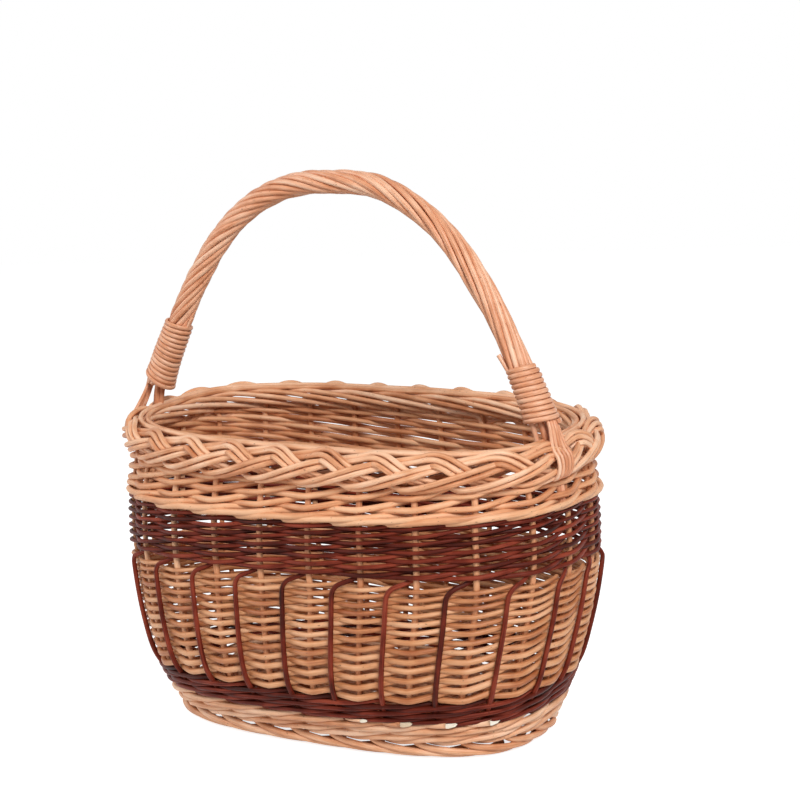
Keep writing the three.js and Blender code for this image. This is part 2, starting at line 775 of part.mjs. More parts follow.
// Least distance between points of the winding that lie about a turn apart
function leastGap(sections) {
  const faces = sections.map((section) => section.map((point, side) => {
    const following = section[(side + 1) % section.length];
    return [point, point.clone().lerp(following, 0.5)];
  }).flat());
  let least = Infinity;
  for (let row = 0; row < faces.length; row += 1) {
    const last = Math.min(row + 2 * BINDING_STEPS, faces.length - 1);
    for (let other = row + BINDING_STEPS / 2; other <= last; other += 1) {
      for (const point of faces[row]) {
        for (const target of faces[other]) {
          least = Math.min(least, point.distanceTo(target));
        }
      }
    }
  }
  return least;
}

for (const [side, end] of [['left', -1], ['right', 1]]) {
  const sections = bindingSections(end);
  const gap = leastGap(sections);
  const verdict = gap > BINDING_LEAST_GAP ? 'clear' : 'too tight';
  console.log(`handle_binding_${side}: least gap between turns ${gap.toFixed(2)} mm, ${verdict}`);
  addPart(`handle_binding_${side}`, loft(sections, false), HANDLE_WILLOW);
}

// Fans: thin rods from the end of the sleeve down over the outside of the border

const fanRadius = FAN_ROD_DIAMETER / 2;
const fanStep = FAN_ROD_DIAMETER + FAN_ROD_GAP;
const fanBorderRadius = plaitOuterRadius + fanRadius + 3 * SEAT_GAP;
const FAN_SECTION_ANGLES = [52, 25, 0, -25, -42];

// Curve parameter of the border beside a foot of the handle
function borderFoot(end) {
  const angle = Math.asin(signedPower(legY(end) / borderPlan.halfWidth, PLAN_EXPONENT / 2));
  return (end > 0 ? angle : Math.PI - angle) / FULL_TURN;
}

function fanRodGeometry(end, index) {
  const beside = (index - (FAN_ROD_COUNT - 1) / 2) * fanStep;
  const sleeveEnd = end < 0 ? wrapStart : wrapEnd;
  const ringRadius = WRAP_DIAMETER / 2;
  const angle = beside / ringRadius - THREE.MathUtils.degToRad(FAN_TOP_ANGLE);
  const points = [SEAT_GAP, FAN_ROD_DIAMETER].map(
    (drop) => handlePoint(sleeveEnd + end * drop, angle, ringRadius));
  const turn = borderTurn(borderFoot(end)) + end * (beside - FAN_SHIFT) / borderPlan.getLength();
  const parameter = borderPlan.getUtoTmapping(turn - Math.floor(turn));
  FAN_SECTION_ANGLES.forEach((degrees) => {
    const section = THREE.MathUtils.degToRad(degrees);
    points.push(borderPoint(
      parameter, fanBorderRadius * Math.cos(section), fanBorderRadius * Math.sin(section)));
  });
  return rod(new THREE.CatmullRomCurve3(points), 7, 5, () => fanRadius);
}

// Share of the border's length at a curve parameter
function borderTurn(parameter) {
  const whole = parameter - Math.floor(parameter);
  const lengths = borderPlan.getLengths();
  const place = whole * (lengths.length - 1);
  const below = Math.floor(place);
  const above = Math.min(below + 1, lengths.length - 1);
  return THREE.MathUtils.lerp(lengths[below], lengths[above], place - below) / lengths.at(-1);
}

for (const [side, end] of [['left', -1], ['right', 1]]) {
  for (let index = 0; index < FAN_ROD_COUNT; index += 1) {
    addPart(`handle_fan_${side}_${index + 1}`, fanRodGeometry(end, index), HANDLE_WILLOW);
  }
}

export default basket;
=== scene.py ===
"""Looks of an oval wicker shopping basket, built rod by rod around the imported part.

Lengths are in millimetres until a mesh is made. A place along the wall is counted in stakes: whole numbers
are stakes, halves lie between them, and places grow to the right as seen from outside. A route is a list of
points, each with its distance in stakes from a place, its height and its distance outside the wall's middle
line. A drift is the most waves of a rod's slow wandering and its size.
"""

import math

import bpy
import numpy as np
from mathutils import Matrix


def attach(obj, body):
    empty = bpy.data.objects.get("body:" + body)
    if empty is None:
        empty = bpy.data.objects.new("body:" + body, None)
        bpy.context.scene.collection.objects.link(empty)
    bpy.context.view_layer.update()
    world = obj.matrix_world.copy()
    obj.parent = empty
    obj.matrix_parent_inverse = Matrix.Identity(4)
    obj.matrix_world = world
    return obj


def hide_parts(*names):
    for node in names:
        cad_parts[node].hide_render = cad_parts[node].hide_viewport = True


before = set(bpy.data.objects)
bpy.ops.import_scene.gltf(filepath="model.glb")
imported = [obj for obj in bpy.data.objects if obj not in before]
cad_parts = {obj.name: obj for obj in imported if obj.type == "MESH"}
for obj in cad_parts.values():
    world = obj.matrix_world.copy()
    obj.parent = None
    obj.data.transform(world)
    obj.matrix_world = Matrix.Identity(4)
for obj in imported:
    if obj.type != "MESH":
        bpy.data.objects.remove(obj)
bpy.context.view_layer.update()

MM = 0.001
FULL_TURN = 2 * math.pi
ALONG = np.array([1.0, 0.0, 0.0])
SIDE = np.array([0.0, 1.0, 0.0])
UP = np.array([0.0, 0.0, 1.0])
DRAW_SEED = 17
rng = np.random.default_rng(DRAW_SEED)

# The part's own driving sizes
STAKE_COUNT = 24
STAKE_PHASE = 0.636
PLAN_EXPONENT = 2.84
LEVELS = np.array([0.0, 54.0, 152.0, 198.0, 238.0])
HALF_LENGTHS = np.array([163.0, 186.0, 210.0, 209.5, 205.5])
HALF_WIDTHS = np.array([86.0, 120.0, 127.0, 127.0, 122.0])
BELLY_LEVEL = 2
SEAT_GAP = 0.3
BASE_TOP = 33.0
BASE_THICKNESS = 12.0
CROSS_STICK_STEP = 44.0
LONG_STICK_STEP = 28.0
BORDER_HEIGHT = 34.0
BORDER_END_INSET = 5.0
BORDER_SIDE_INSET = 3.5
HANDLE_X = -5.0
HANDLE_END_INSET = 3.5
HANDLE_RISE = 205.0
HANDLE_FOOT_LIFT = -3.0
HANDLE_POWER = 2.62
CORE_TIP_LIFT = 8.0
WRAP_RADIUS = 10.5
WRAP_FLARE = 1.5
BINDING_PITCH = 4.3
BINDING_LIFT = 2.0

# Sizes that follow from them
BELLY, NECK, SHOULDER = LEVELS[BELLY_LEVEL:]
BASE_MIDDLE = BASE_TOP - BASE_THICKNESS / 2
CROSS_STICKS = CROSS_STICK_STEP * np.arange(-3, 4)
LONG_STICKS = LONG_STICK_STEP * np.arange(-1, 2)
BORDER_HALF_LENGTH = HALF_LENGTHS[-1] - BORDER_END_INSET
BORDER_HALF_WIDTH = HALF_WIDTHS[-1] - BORDER_SIDE_INSET
BORDER_LEVEL = SHOULDER + SEAT_GAP + BORDER_HEIGHT / 2
BORDER_TOP = BORDER_LEVEL + BORDER_HEIGHT / 2
HANDLE_HALF_SPAN = HALF_LENGTHS[-1] - HANDLE_END_INSET
HANDLE_FOOT = BORDER_TOP + HANDLE_FOOT_LIFT
HANDLE_TIP = NECK + CORE_TIP_LIFT

# Lean of the rim to the right end and to the front, more lean at the ends, and rise of the dark band there
RIM_LEAN = 6.0
RIM_TILT = 11.0
END_LEAN = 3.0
END_RISE = 6.5
END_RISE_POWER = 2.5

# How far the handle's legs stand before their stakes, and then for the left and the right leg: its stake,
# the rope's height over the border, the binding's turns, their slant from the lowest to the highest, and
# how far the fan's foot stands to the front
LEG_CLEARANCE = 7.8
LEG_STAKES = (12, 23)
WRAP_LIFTS = (15.0, 8.0)
BINDING_TURNS = (14, 11)
TURN_SLANTS = ((-4.5, 2.5), (2.8, 2.8))
FAN_SHIFTS = (17.0, 8.0)

# Shape of the wall


def signed_power(value, power):
    return np.sign(value) * np.abs(value) ** power


def superellipse(angle, half_length, half_width):
    power = 2 / PLAN_EXPONENT
    x = half_length * signed_power(np.cos(angle), power)
    y = half_width * signed_power(np.sin(angle), power)
    return x, y


def superellipse_reach(across, half, other_half):
    """How far the plan reaches one way, at a distance from the middle the other way."""
    return other_half * (1 - abs(across / half) ** PLAN_EXPONENT) ** (1 / PLAN_EXPONENT)


def plan_normal(x, y, half_length, half_width):
    nx = signed_power(x / half_length, PLAN_EXPONENT - 1) / half_length
    ny = signed_power(y / half_width, PLAN_EXPONENT - 1) / half_width
    size = np.hypot(nx, ny)
    return nx / size, ny / size


PLAN_STEPS = 7200
PLAN_ANGLES = np.linspace(0, FULL_TURN, PLAN_STEPS + 1)
belly_x, belly_y = superellipse(PLAN_ANGLES, HALF_LENGTHS[BELLY_LEVEL], HALF_WIDTHS[BELLY_LEVEL])
PLAN_LENGTHS = np.concatenate([[0], np.cumsum(np.hypot(np.diff(belly_x), np.diff(belly_y)))])


def plan_angle(place):
    turn = np.mod((np.asarray(place, float) + STAKE_PHASE) / STAKE_COUNT, 1)
    return np.interp(turn * PLAN_LENGTHS[-1], PLAN_LENGTHS, PLAN_ANGLES)


def wall_half_sizes(z):
    """Half length and half width of the wall's middle line at some heights, on the part's own cubic."""
    z = np.clip(z, LEVELS[0], LEVELS[-1])
    last = len(LEVELS) - 1
    upper = np.clip(np.searchsorted(LEVELS, z, side="right"), 1, last)
    lower = upper - 1
    before = np.where(lower == 0, upper, lower - 1)
    after = np.where(upper == last, lower, np.minimum(upper + 1, last))
    half_step = (LEVELS[upper] - LEVELS[lower]) / 2
    w_before = half_step / (LEVELS[lower] - LEVELS[before])
    w_after = half_step / (LEVELS[after] - LEVELS[upper])
    p = (z - LEVELS[lower]) / (2 * half_step)
    s_before = w_before * (-p**3 + 2 * p**2 - p)
    s_lower = (1 + w_before) * p**3 - (1.5 + 2 * w_before) * p**2 + (w_before - 0.5) * p + 1
    s_upper = (1.5 + w_after) * p**2 - (1 + w_after) * p**3 + 0.5 * p
    s_after = w_after * (p**3 - p**2)
    return [
        s_before * sizes[before] + s_lower * sizes[lower] + s_upper * sizes[upper] + s_after * sizes[after]
        for sizes in (HALF_LENGTHS, HALF_WIDTHS)
    ]


def lean(x, y, z):
    """Drop of the rim, which hangs down at the right end, most at its tip, and at the front."""
    share = np.clip((z - NECK) / (SHOULDER - NECK), 0, 1)
    along = x / BORDER_HALF_LENGTH
    return share * (RIM_LEAN * along + END_LEAN * along**3 - RIM_TILT * y / BORDER_HALF_WIDTH)


def end_rise(x, z):
    """Rise of the dark band's upper edge towards the two ends, where its rods lie further apart."""
    share = np.clip(np.minimum((z - BELLY) / (NECK - BELLY), (SHOULDER - z) / (SHOULDER - NECK)), 0, 1)
    return END_RISE * share * np.abs(x / HALF_LENGTHS[BELLY_LEVEL]) ** END_RISE_POWER


def wall(place, z, outside=0.0):
    """Points of the wall at some places and heights, moved out of its middle line."""
    place, z, outside = np.broadcast_arrays(place, z, outside)
    half_length, half_width = wall_half_sizes(z)
    x, y = superellipse(plan_angle(place), half_length, half_width)
    nx, ny = plan_normal(x, y, half_length, half_width)
    x = x + nx * outside
    y = y + ny * outside
    return np.stack([x, y, z - lean(x, y, z) + end_rise(x, z)], axis=-1)


def outward(place, z):
    return wall(place, z, 1.0) - wall(place, z, 0.0)


# Lines that rods follow

DRIFT_SINES = 3
LEAST_DISTANCE = 1e-6


def unit(vectors):
    return vectors / np.linalg.norm(vectors, axis=-1, keepdims=True)


def distances(points):
    """Distance along a line from its first point to each of its points."""
    return np.concatenate([[0], np.cumsum(np.linalg.norm(np.diff(points, axis=0), axis=1))])


def smooth_path(points, samples):
    """Centripetal curve through points, with so many samples on each span."""
    points = np.asarray(points, float)
    padded = np.vstack([2 * points[0] - points[1], points, 2 * points[-1] - points[-2]])
    roots = np.sqrt(np.maximum(np.linalg.norm(np.diff(padded, axis=0), axis=1), LEAST_DISTANCE))
    t = np.linspace(0, 1, samples, endpoint=False)[:, None]
    spans = []
    for first in range(len(points) - 1):
        p0, p1, p2, p3 = padded[first:first + 4]
        d0, d1, d2 = roots[first:first + 3]
        m1 = d1 * ((p1 - p0) / d0 - (p2 - p0) / (d0 + d1) + (p2 - p1) / d1)
        m2 = d1 * ((p2 - p1) / d1 - (p3 - p1) / (d1 + d2) + (p3 - p2) / d2)
        square = 3 * (p2 - p1) - 2 * m1 - m2
        cube = 2 * (p1 - p2) + m1 + m2
        spans.append(p1 + m1 * t + square * t**2 + cube * t**3)
    return np.vstack([*spans, points[-1:]])


def even_path(points):
    """The same line with points a millimetre apart."""
    lengths = distances(points)
    places = np.linspace(0, lengths[-1], int(lengths[-1]) + 1)
    return np.stack([np.interp(places, lengths, points[:, axis]) for axis in range(3)], axis=-1)


def route_from(place, route):
    return np.asarray(route, float) + (place, 0.0, 0.0)


def wall_path(place, route, samples):
    """Smooth path along a route on the wall that starts from a place."""
    return wall(*smooth_path(route_from(place, route), samples).T)


def closed_places(samples):
    """Places all round the wall, with so many samples from stake to stake."""
    return np.arange(0, STAKE_COUNT, 1 / samples)


def drift(count, waves, size, closed=False):
    """Slow random wandering along a rod."""
    t = np.linspace(0, 1, count, endpoint=not closed)
    total = np.zeros(count)
    for _ in range(DRIFT_SINES):
        total += np.sin(FULL_TURN * (rng.integers(1, waves + 1) * t + rng.random()))
    return size * total / DRIFT_SINES


# Meshes of rods

ROD_SIDES = 8
ROD_TURN = FULL_TURN * np.arange(ROD_SIDES) / ROD_SIDES
GRAIN_SPREAD = 1000.0
TONE_SPREAD = 0.5

# On the map each rod has a row, of which it fills a share. Its sides keep a margin at both ends, in which
# the faces of its two ends lie.
MAP_ROW_SHARE = 0.9
MAP_MARGIN = 0.01
MAP_END_PLACE = 0.003
MAP_END_WIDTH = 0.002
MAP_END_HEIGHT = 0.3


def side_corners(count, spans):
    """Corner numbers of the faces along a rod of so many rings."""
    side = np.arange(ROD_SIDES)
    beside = (side + 1) % ROD_SIDES
    step = np.arange(spans)[:, None]
    here = step * ROD_SIDES
    onward = (step + 1) % count * ROD_SIDES
    return np.stack([here + side, here + beside, onward + beside, onward + side], axis=-1)


def side_map(shares, low, high):
    """Map places of the same faces, from each ring's share of the rod's length."""
    side = np.arange(ROD_SIDES)[None, :]
    start = shares[:-1, None]
    end = shares[1:, None]
    u = np.stack([start, start, end, end], axis=-1)
    v = np.stack([side, side + 1, side + 1, side], axis=-1) / ROD_SIDES
    u, v = np.broadcast_arrays(MAP_MARGIN + (1 - 2 * MAP_MARGIN) * u, low + (high - low) * v)
    return np.stack([u, v], axis=-1).reshape(-1, 2)


def end_map(place, middle, row_height):
    """Map places of the face at a rod's end."""
    u = place + MAP_END_WIDTH * np.cos(ROD_TURN)
    v = middle + MAP_END_HEIGHT * row_height * np.sin(ROD_TURN)
    return np.stack([u, v], axis=-1)


def add_attribute(mesh, name, kind, field, values):
    attribute = mesh.attributes.new(name, kind, "POINT")
    attribute.data.foreach_set(field, values.astype(np.float32).ravel())


class Rods:
    """Round rods collected into one mesh, each with its own row on the map and its own grain."""

    def __init__(self):
        self.rods = []

    def add(self, points, radius, reference, flat=1.0, closed=False, end_skew=None, cut=False):
        """A rod along points. Flat widens it along the reference, and a skew slants the cut at its end."""
        points = np.asarray(points, float)
        if closed:
            tangent = unit(np.roll(points, -1, axis=0) - np.roll(points, 1, axis=0))
        else:
            tangent = unit(np.gradient(points, axis=0))
        reference = np.broadcast_to(reference, points.shape)
        normal = unit(reference - np.sum(reference * tangent, axis=1, keepdims=True) * tangent)
        binormal = np.cross(tangent, normal)
        radius = np.broadcast_to(radius, len(points))[:, None]
        along_normal = flat * radius * np.cos(ROD_TURN)
        along_binormal = radius * np.sin(ROD_TURN)
        rings = points[:, None] + along_normal[..., None] * normal[:, None]
        rings = rings + along_binormal[..., None] * binormal[:, None]
        if end_skew is not None:
            shift = (rings[-1] - points[-1]) @ end_skew
            rings[-1] += shift[:, None] * tangent[-1]
        lengths = distances(np.vstack([points, points[:1]]))
        along = np.broadcast_to(lengths[:-1, None], along_normal.shape)
        grain = np.stack([along, along_normal, along_binormal], axis=-1)
        self.rods.append((rings, lengths, grain, closed, cut))

    def build(self, name, materials):
        """An object of all the rods. The ends of cut rods have the second material."""
        corners, grains, tones, loops, maps, sizes, slots = [], [], [], [], [], [], []
        first = 0
        row_height = 1 / len(self.rods)
        for row, (rings, lengths, grain, closed, cut) in enumerate(self.rods):
            count = len(rings)
            spans = count if closed else count - 1
            low = row * row_height
            high = (row + MAP_ROW_SHARE) * row_height
            grain = grain + GRAIN_SPREAD * rng.random(3)
            corners.append(rings.reshape(-1, 3))
            grains.append(grain.reshape(-1, 3))
            loops.append((first + side_corners(count, spans)).ravel())
            maps.append(side_map(lengths[:spans + 1] / lengths[spans], low, high))
            sizes.append(np.full(spans * ROD_SIDES, 4))
            slots.append(np.zeros(spans * ROD_SIDES))
            first += count * ROD_SIDES
            ends = [] if closed else [(0, -1, MAP_END_PLACE), (count - 1, 1, 1 - MAP_END_PLACE)]
            for ring, facing, place in ends:
                corners.append(rings[ring])
                grains.append(grain[ring])
                loops.append(first + np.arange(ROD_SIDES)[::facing])
                maps.append(end_map(place, (low + high) / 2, row_height)[::facing])
                sizes.append([ROD_SIDES])
                slots.append([cut])
                first += ROD_SIDES
            tones.append(np.full((count + len(ends)) * ROD_SIDES, rng.normal()))

        corners = np.concatenate(corners) * MM
        loops = np.concatenate(loops)
        sizes = np.concatenate(sizes)
        mesh = bpy.data.meshes.new(name)
        mesh.vertices.add(len(corners))
        mesh.vertices.foreach_set("co", corners.astype(np.float32).ravel())
        mesh.loops.add(len(loops))
        mesh.loops.foreach_set("vertex_index", loops.astype(np.int32))
        mesh.polygons.add(len(sizes))
        mesh.polygons.foreach_set("loop_start", (np.cumsum(sizes) - sizes).astype(np.int32))
        for material in materials:
            mesh.materials.append(material)
        mesh.polygons.foreach_set("material_index", np.concatenate(slots).astype(np.int32))
        mesh.update(calc_edges=True)
        mesh.shade_smooth()
        layer = mesh.uv_layers.new(name="OFBake")
        layer.uv.foreach_set("vector", np.concatenate(maps).astype(np.float32).ravel())
        add_attribute(mesh, "grain", "FLOAT_VECTOR", "vector", np.concatenate(grains) * MM)
        add_attribute(mesh, "tone", "FLOAT", "value", np.clip(np.concatenate(tones) * TONE_SPREAD, -1, 1))
        mesh.validate()
        obj = bpy.data.objects.new(name, mesh)
        bpy.context.scene.collection.objects.link(obj)
        return obj


def make_piece(name, rods, materials, nodes):
    obj = rods.build(name, materials)
    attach(obj, "root")
    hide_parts(*nodes)


def numbered(stem, count, digits=1):
    return [f"{stem}_{index + 1:0{digits}d}" for index in range(count)]


# Materials

# Noises of the willow: scale along the rod, scale across it and detail
STREAK_NOISE = (22.0, 900.0, 3.0)
BLOTCH_NOISE = (38.0, 60.0, 2.0)
FLECK_NOISE = (260.0, 700.0, 1.0)
FINE_NOISE = (55.0, 1400.0, 4.0)
NOISE_ROUGHNESS = 0.6

STREAK_WEIGHT = 0.9
STREAK_RANGE = (0.3, 0.7)
COLOUR_STOPS = (0.12, 0.38, 0.62, 0.88)
FLECK_RANGE = (0.70, 0.78)
FLECK_WEIGHT = 0.75
BUMP_STRENGTH = 0.2
BUMP_DISTANCE = 0.0004
COAT_ROUGHNESS = 0.3
PEELED_ROUGHNESS = (0.42, 0.6)


def linear(red, green, blue):
    """Scene colour of a written sRGB colour."""
    parts = [part / 255 for part in (red, green, blue)]
    return tuple(p / 12.92 if p <= 0.04045 else ((p + 0.055) / 1.055) ** 2.4 for p in parts) + (1.0,)


def link(tree, source, target):
    tree.links.new(source, target)


def math_node(tree, operation, first, second):
    node = tree.nodes.new("ShaderNodeMath")
    node.operation = operation
    for socket, value in zip(node.inputs, (first, second)):
        if isinstance(value, (int, float)):
            socket.default_value = value
        else:
            link(tree, value, socket)
    return node.outputs[0]


def map_range(tree, value, source, target):
    node = tree.nodes.new("ShaderNodeMapRange")
    for name, number in zip(("From Min", "From Max", "To Min", "To Max"), (*source, *target)):
        node.inputs[name].default_value = number
    link(tree, value, node.inputs["Value"])
    return node.outputs["Result"]


def grain_noise(tree, along, across, detail):
    """Noise in a rod's own coordinates, drawn out along the rod."""
    place = tree.nodes.new("ShaderNodeAttribute")
    place.attribute_name = "grain"
    scaled = tree.nodes.new("ShaderNodeMapping")
    scaled.inputs["Scale"].default_value = (along, across, across)
    link(tree, place.outputs["Vector"], scaled.inputs["Vector"])
    noise = tree.nodes.new("ShaderNodeTexNoise")
    noise.inputs["Scale"].default_value = 1.0
    noise.inputs["Detail"].default_value = detail
    noise.inputs["Roughness"].default_value = NOISE_ROUGHNESS
    link(tree, scaled.outputs["Vector"], noise.inputs["Vector"])
    return noise.outputs["Fac"]


def colour_ramp(tree, value, colours):
    ramp = tree.nodes.new("ShaderNodeValToRGB")
    ramp.color_ramp.interpolation = "B_SPLINE"
    stops = ramp.color_ramp.elements
    stops[0].position = COLOUR_STOPS[0]
    stops[1].position = COLOUR_STOPS[-1]
    for position in COLOUR_STOPS[1:-1]:
        stops.new(position)
    for stop, colour in zip(stops, colours):
        stop.color = linear(*colour)
    link(tree, value, ramp.inputs["Fac"])
    return ramp.outputs["Color"]


def willow(name, colours, fleck, roughness=PEELED_ROUGHNESS, tones=0.35, specular=0.5, coat=0.0):
    """Peeled willow: streaks along the rod, blotches, a tone for each rod, dark flecks and a fine grain."""
    material = bpy.data.materials.new(name)
    material.use_nodes = True
    tree = material.node_tree
    shader = tree.nodes["Principled BSDF"]
    streak = grain_noise(tree, *STREAK_NOISE)
    tone = tree.nodes.new("ShaderNodeAttribute")
    tone.attribute_name = "tone"
    mix = math_node(tree, "MULTIPLY", math_node(tree, "SUBTRACT", streak, 0.5), STREAK_WEIGHT)
    mix = math_node(tree, "ADD", mix, grain_noise(tree, *BLOTCH_NOISE))
    mix = math_node(tree, "ADD", mix, math_node(tree, "MULTIPLY", tone.outputs["Fac"], tones))
    flecks = map_range(tree, grain_noise(tree, *FLECK_NOISE), FLECK_RANGE, (0.0, FLECK_WEIGHT))
    blend = tree.nodes.new("ShaderNodeMix")
    blend.data_type = "RGBA"
    link(tree, flecks, blend.inputs["Factor"])
    link(tree, colour_ramp(tree, mix, colours), blend.inputs["A"])
    blend.inputs["B"].default_value = linear(*fleck)
    link(tree, blend.outputs["Result"], shader.inputs["Base Color"])
    link(tree, map_range(tree, streak, STREAK_RANGE, roughness), shader.inputs["Roughness"])
    bump = tree.nodes.new("ShaderNodeBump")
    bump.inputs["Strength"].default_value = BUMP_STRENGTH
    bump.inputs["Distance"].default_value = BUMP_DISTANCE
    link(tree, grain_noise(tree, *FINE_NOISE), bump.inputs["Height"])
    link(tree, bump.outputs["Normal"], shader.inputs["Normal"])
    shader.inputs["Specular IOR Level"].default_value = specular
    shader.inputs["Coat Weight"].default_value = coat
    shader.inputs["Coat Roughness"].default_value = COAT_ROUGHNESS
    return material


LIGHT = willow(
    "light_willow",
    colours=[(186, 114, 70), (220, 155, 111), (236, 181, 140), (248, 205, 172)],
    fleck=(120, 66, 40))
WEAVER = willow(
    "weaver_willow",
    colours=[(156, 85, 44), (194, 126, 79), (213, 152, 105), (230, 177, 136)],
    fleck=(108, 58, 34))
STAKE = willow(
    "stake_willow",
    colours=[(182, 112, 70), (214, 148, 104), (226, 165, 120), (238, 186, 145)],
    fleck=(112, 62, 38))
HANDLE = willow(
    "handle_willow",
    colours=[(191, 116, 74), (218, 151, 110), (232, 176, 141), (242, 203, 173)],
    fleck=(124, 68, 42), roughness=(0.36, 0.52), tones=0.16, coat=0.1)
DARK = willow(
    "dark_willow",
    colours=[(36, 8, 3), (74, 22, 11), (110, 38, 23), (148, 66, 46)],
    fleck=(24, 6, 3), roughness=(0.4, 0.56), tones=0.25, specular=0.12)
CUT = willow(
    "cut_willow",
    colours=[(214, 190, 158), (236, 222, 198), (242, 232, 212), (250, 244, 230)],
    fleck=(170, 130, 96), roughness=(0.6, 0.8))

# Ways of weaving

STAKE_RADIUS = 2.4
WEAVE_SAMPLES = 10
SWING_STRAIGHTNESS = 0.95
DIP_STRAIGHTNESS = 0.985
PRESS = 0.55
CROSS_LAYER = 0.8
WEAVER_SPREAD = (0.93, 1.07)
WEAVER_RISE_DRIFT = (9, 0.7)
WEAVER_OUT_DRIFT = (9, 0.35)
WALE_STRANDS = 3
WALE_OUT_WAVES = (1.075, 0.2583)
WALE_RISE_WAVE = 0.35
WALE_RISE_DRIFT = (14, 0.6)
WALE_SIZE_DRIFT = (8, 0.12)
INNER_RING_DRIFT = (12, 0.8)


def swing(m, straightness):
    """From 1 in front of a stake to -1 behind the next, with nearly straight runs between."""
    return np.arcsin(straightness * np.cos(np.pi * m)) / math.asin(straightness)


def randing(first_place, travel, level, pitches, dips, radii):
    """One weaver of a band of French randing, which passes in front of every second stake as it climbs.

    It travels so many stakes before and after its first place. The distance of two rows, the dip as a share
    of it and the rod's radius are given at the first place and at the end.
    """
    start, end = travel
    m = np.arange(start, end, 1 / WEAVE_SAMPLES)
    share = np.clip(m / end, 0, 1)
    pitch = pitches[0] + (pitches[1] - pitches[0]) * share
    climb = (pitches[0] * m + (pitches[1] - pitches[0]) * m * share / 2) / 2
    dip = pitch * (dips[0] + (dips[1] - dips[0]) * share)
    radius = (radii[0] + (radii[1] - radii[0]) * share) * rng.uniform(*WEAVER_SPREAD)
    z = level + climb - dip * swing(m, DIP_STRAIGHTNESS) + drift(len(m), *WEAVER_RISE_DRIFT)
    reach = STAKE_RADIUS + radius - PRESS
    outside = reach * swing(m, SWING_STRAIGHTNESS) + CROSS_LAYER * np.sin(np.pi * m)
    outside = outside + drift(len(m), *WEAVER_OUT_DRIFT)
    return np.stack([first_place + m, z, outside], axis=-1), radius


def wale_ring(rods, level, radius, spread):
    """One round of three-rod waling: each strand lies in front of two stakes and behind one."""
    place = closed_places(WEAVE_SAMPLES)
    reach = STAKE_RADIUS + radius - PRESS
    for strand in range(WALE_STRANDS):
        turn = FULL_TURN * (place - strand) / WALE_STRANDS
        waves = WALE_OUT_WAVES[0] * np.cos(turn) + WALE_OUT_WAVES[1] * np.cos(2 * turn)
        outside = reach * (1 / WALE_STRANDS - waves)
        z = level - spread * (np.sin(turn) + WALE_RISE_WAVE * np.sin(2 * turn))
        z = z + drift(len(place), *WALE_RISE_DRIFT, closed=True)
        size = radius * (1 + drift(len(place), *WALE_SIZE_DRIFT, closed=True))
        rods.add(wall(place, z, outside), size, UP, closed=True)


def inner_ring(rods, level, radius):
    """A rod laid round the inside of the stakes, which fills the inside of a wale."""
    place = closed_places(WEAVE_SAMPLES)
    height = level + drift(len(place), *INNER_RING_DRIFT, closed=True)
    rods.add(wall(place, height, PRESS - STAKE_RADIUS - radius), radius, UP, closed=True)


# Stakes, a little broader along the wall than through it

STAKE_HEIGHTS = np.arange(14.0, 252.0, 5.0)
STAKE_BREADTH = 1.14
STAKE_SPREAD = (0.95, 1.05)
STAKE_DRIFT = (3, 0.02)
stakes = Rods()
for stake in range(STAKE_COUNT):
    place = stake + drift(len(STAKE_HEIGHTS), *STAKE_DRIFT)
    size = STAKE_BREADTH * STAKE_RADIUS * rng.uniform(*STAKE_SPREAD)
    normal = outward(stake, STAKE_HEIGHTS[0])
    stakes.add(wall(place, STAKE_HEIGHTS), size, normal, flat=1 / STAKE_BREADTH)
make_piece("stake_rods", stakes, [STAKE], numbered("stake", STAKE_COUNT, digits=2))

# Lower weave

LOWER_WEAVE = dict(travel=(-0.8, 24.7), level=59.2, pitches=(8.7, 5.9), dips=(0.32, 0.16), radii=(2.7, 1.8))
lower = Rods()
for stake in range(STAKE_COUNT):
    path, radius = randing(stake, **LOWER_WEAVE)
    lower.add(wall(*path.T), radius, UP)
make_piece("lower_weavers", lower, [WEAVER], ["lower_weave"])

# Dark rods, which stand halfway between the stakes, bend to the right and weave on as the dark band

DARK_OUTSIDE = 5.6
DARK_RADIUS = 2.35
DARK_SAMPLES = 5
DARK_ROUTE = (
    (0.0, 45.0, 1.0), (0.0, 53.0, 3.6), (0.0, 63.0, DARK_OUTSIDE), (0.0, 90.0, DARK_OUTSIDE),
    (0.0, 118.0, DARK_OUTSIDE), (0.0, 138.0, DARK_OUTSIDE), (0.02, 144.0, DARK_OUTSIDE),
    (0.11, 149.3, 5.0), (0.27, 152.4, 2.2))
DARK_WEAVE = dict(travel=(-1.05, 13.3), level=158.6, pitches=(6.6, 5.7), dips=(0.1, 0.1), radii=(1.95, 1.6))
DARK_FIRST_STAKE = 2
dark = Rods()
for stake in range(STAKE_COUNT):
    upright = smooth_path(route_from(stake + 0.5, DARK_ROUTE), DARK_SAMPLES)
    path, radius = randing(stake + DARK_FIRST_STAKE, **DARK_WEAVE)
    path = np.vstack([upright, path])
    radius = np.concatenate([np.linspace(DARK_RADIUS, radius[0], len(upright)), radius])
    dark.add(wall(*path.T), radius, outward(path[:, 0], path[:, 1]))
make_piece("dark_weavers", dark, [DARK], ["dark_band"])

# Upper weave: a wale, and weavers that climb evenly, with more rows where the tilted rim stands higher

UPPER_WALE = dict(level=203.8, radius=2.7, spread=4.3)
UPPER_START = 204.0
UPPER_END = 249.0
UPPER_WEAVE = dict(travel=(-0.8, 14.0), level=9.0, pitches=(9.4, 9.4), dips=(0.12, 0.1), radii=(2.65, 2.1))


def rim_stretch(place):
    """How tall the upper weave is at a place, against its height under a level rim."""
    x, y, _ = np.moveaxis(wall(place, np.full(np.shape(place), NECK)), -1, 0)
    return 1 - (lean(x, y, SHOULDER) + end_rise(x, NECK)) / (SHOULDER - NECK)


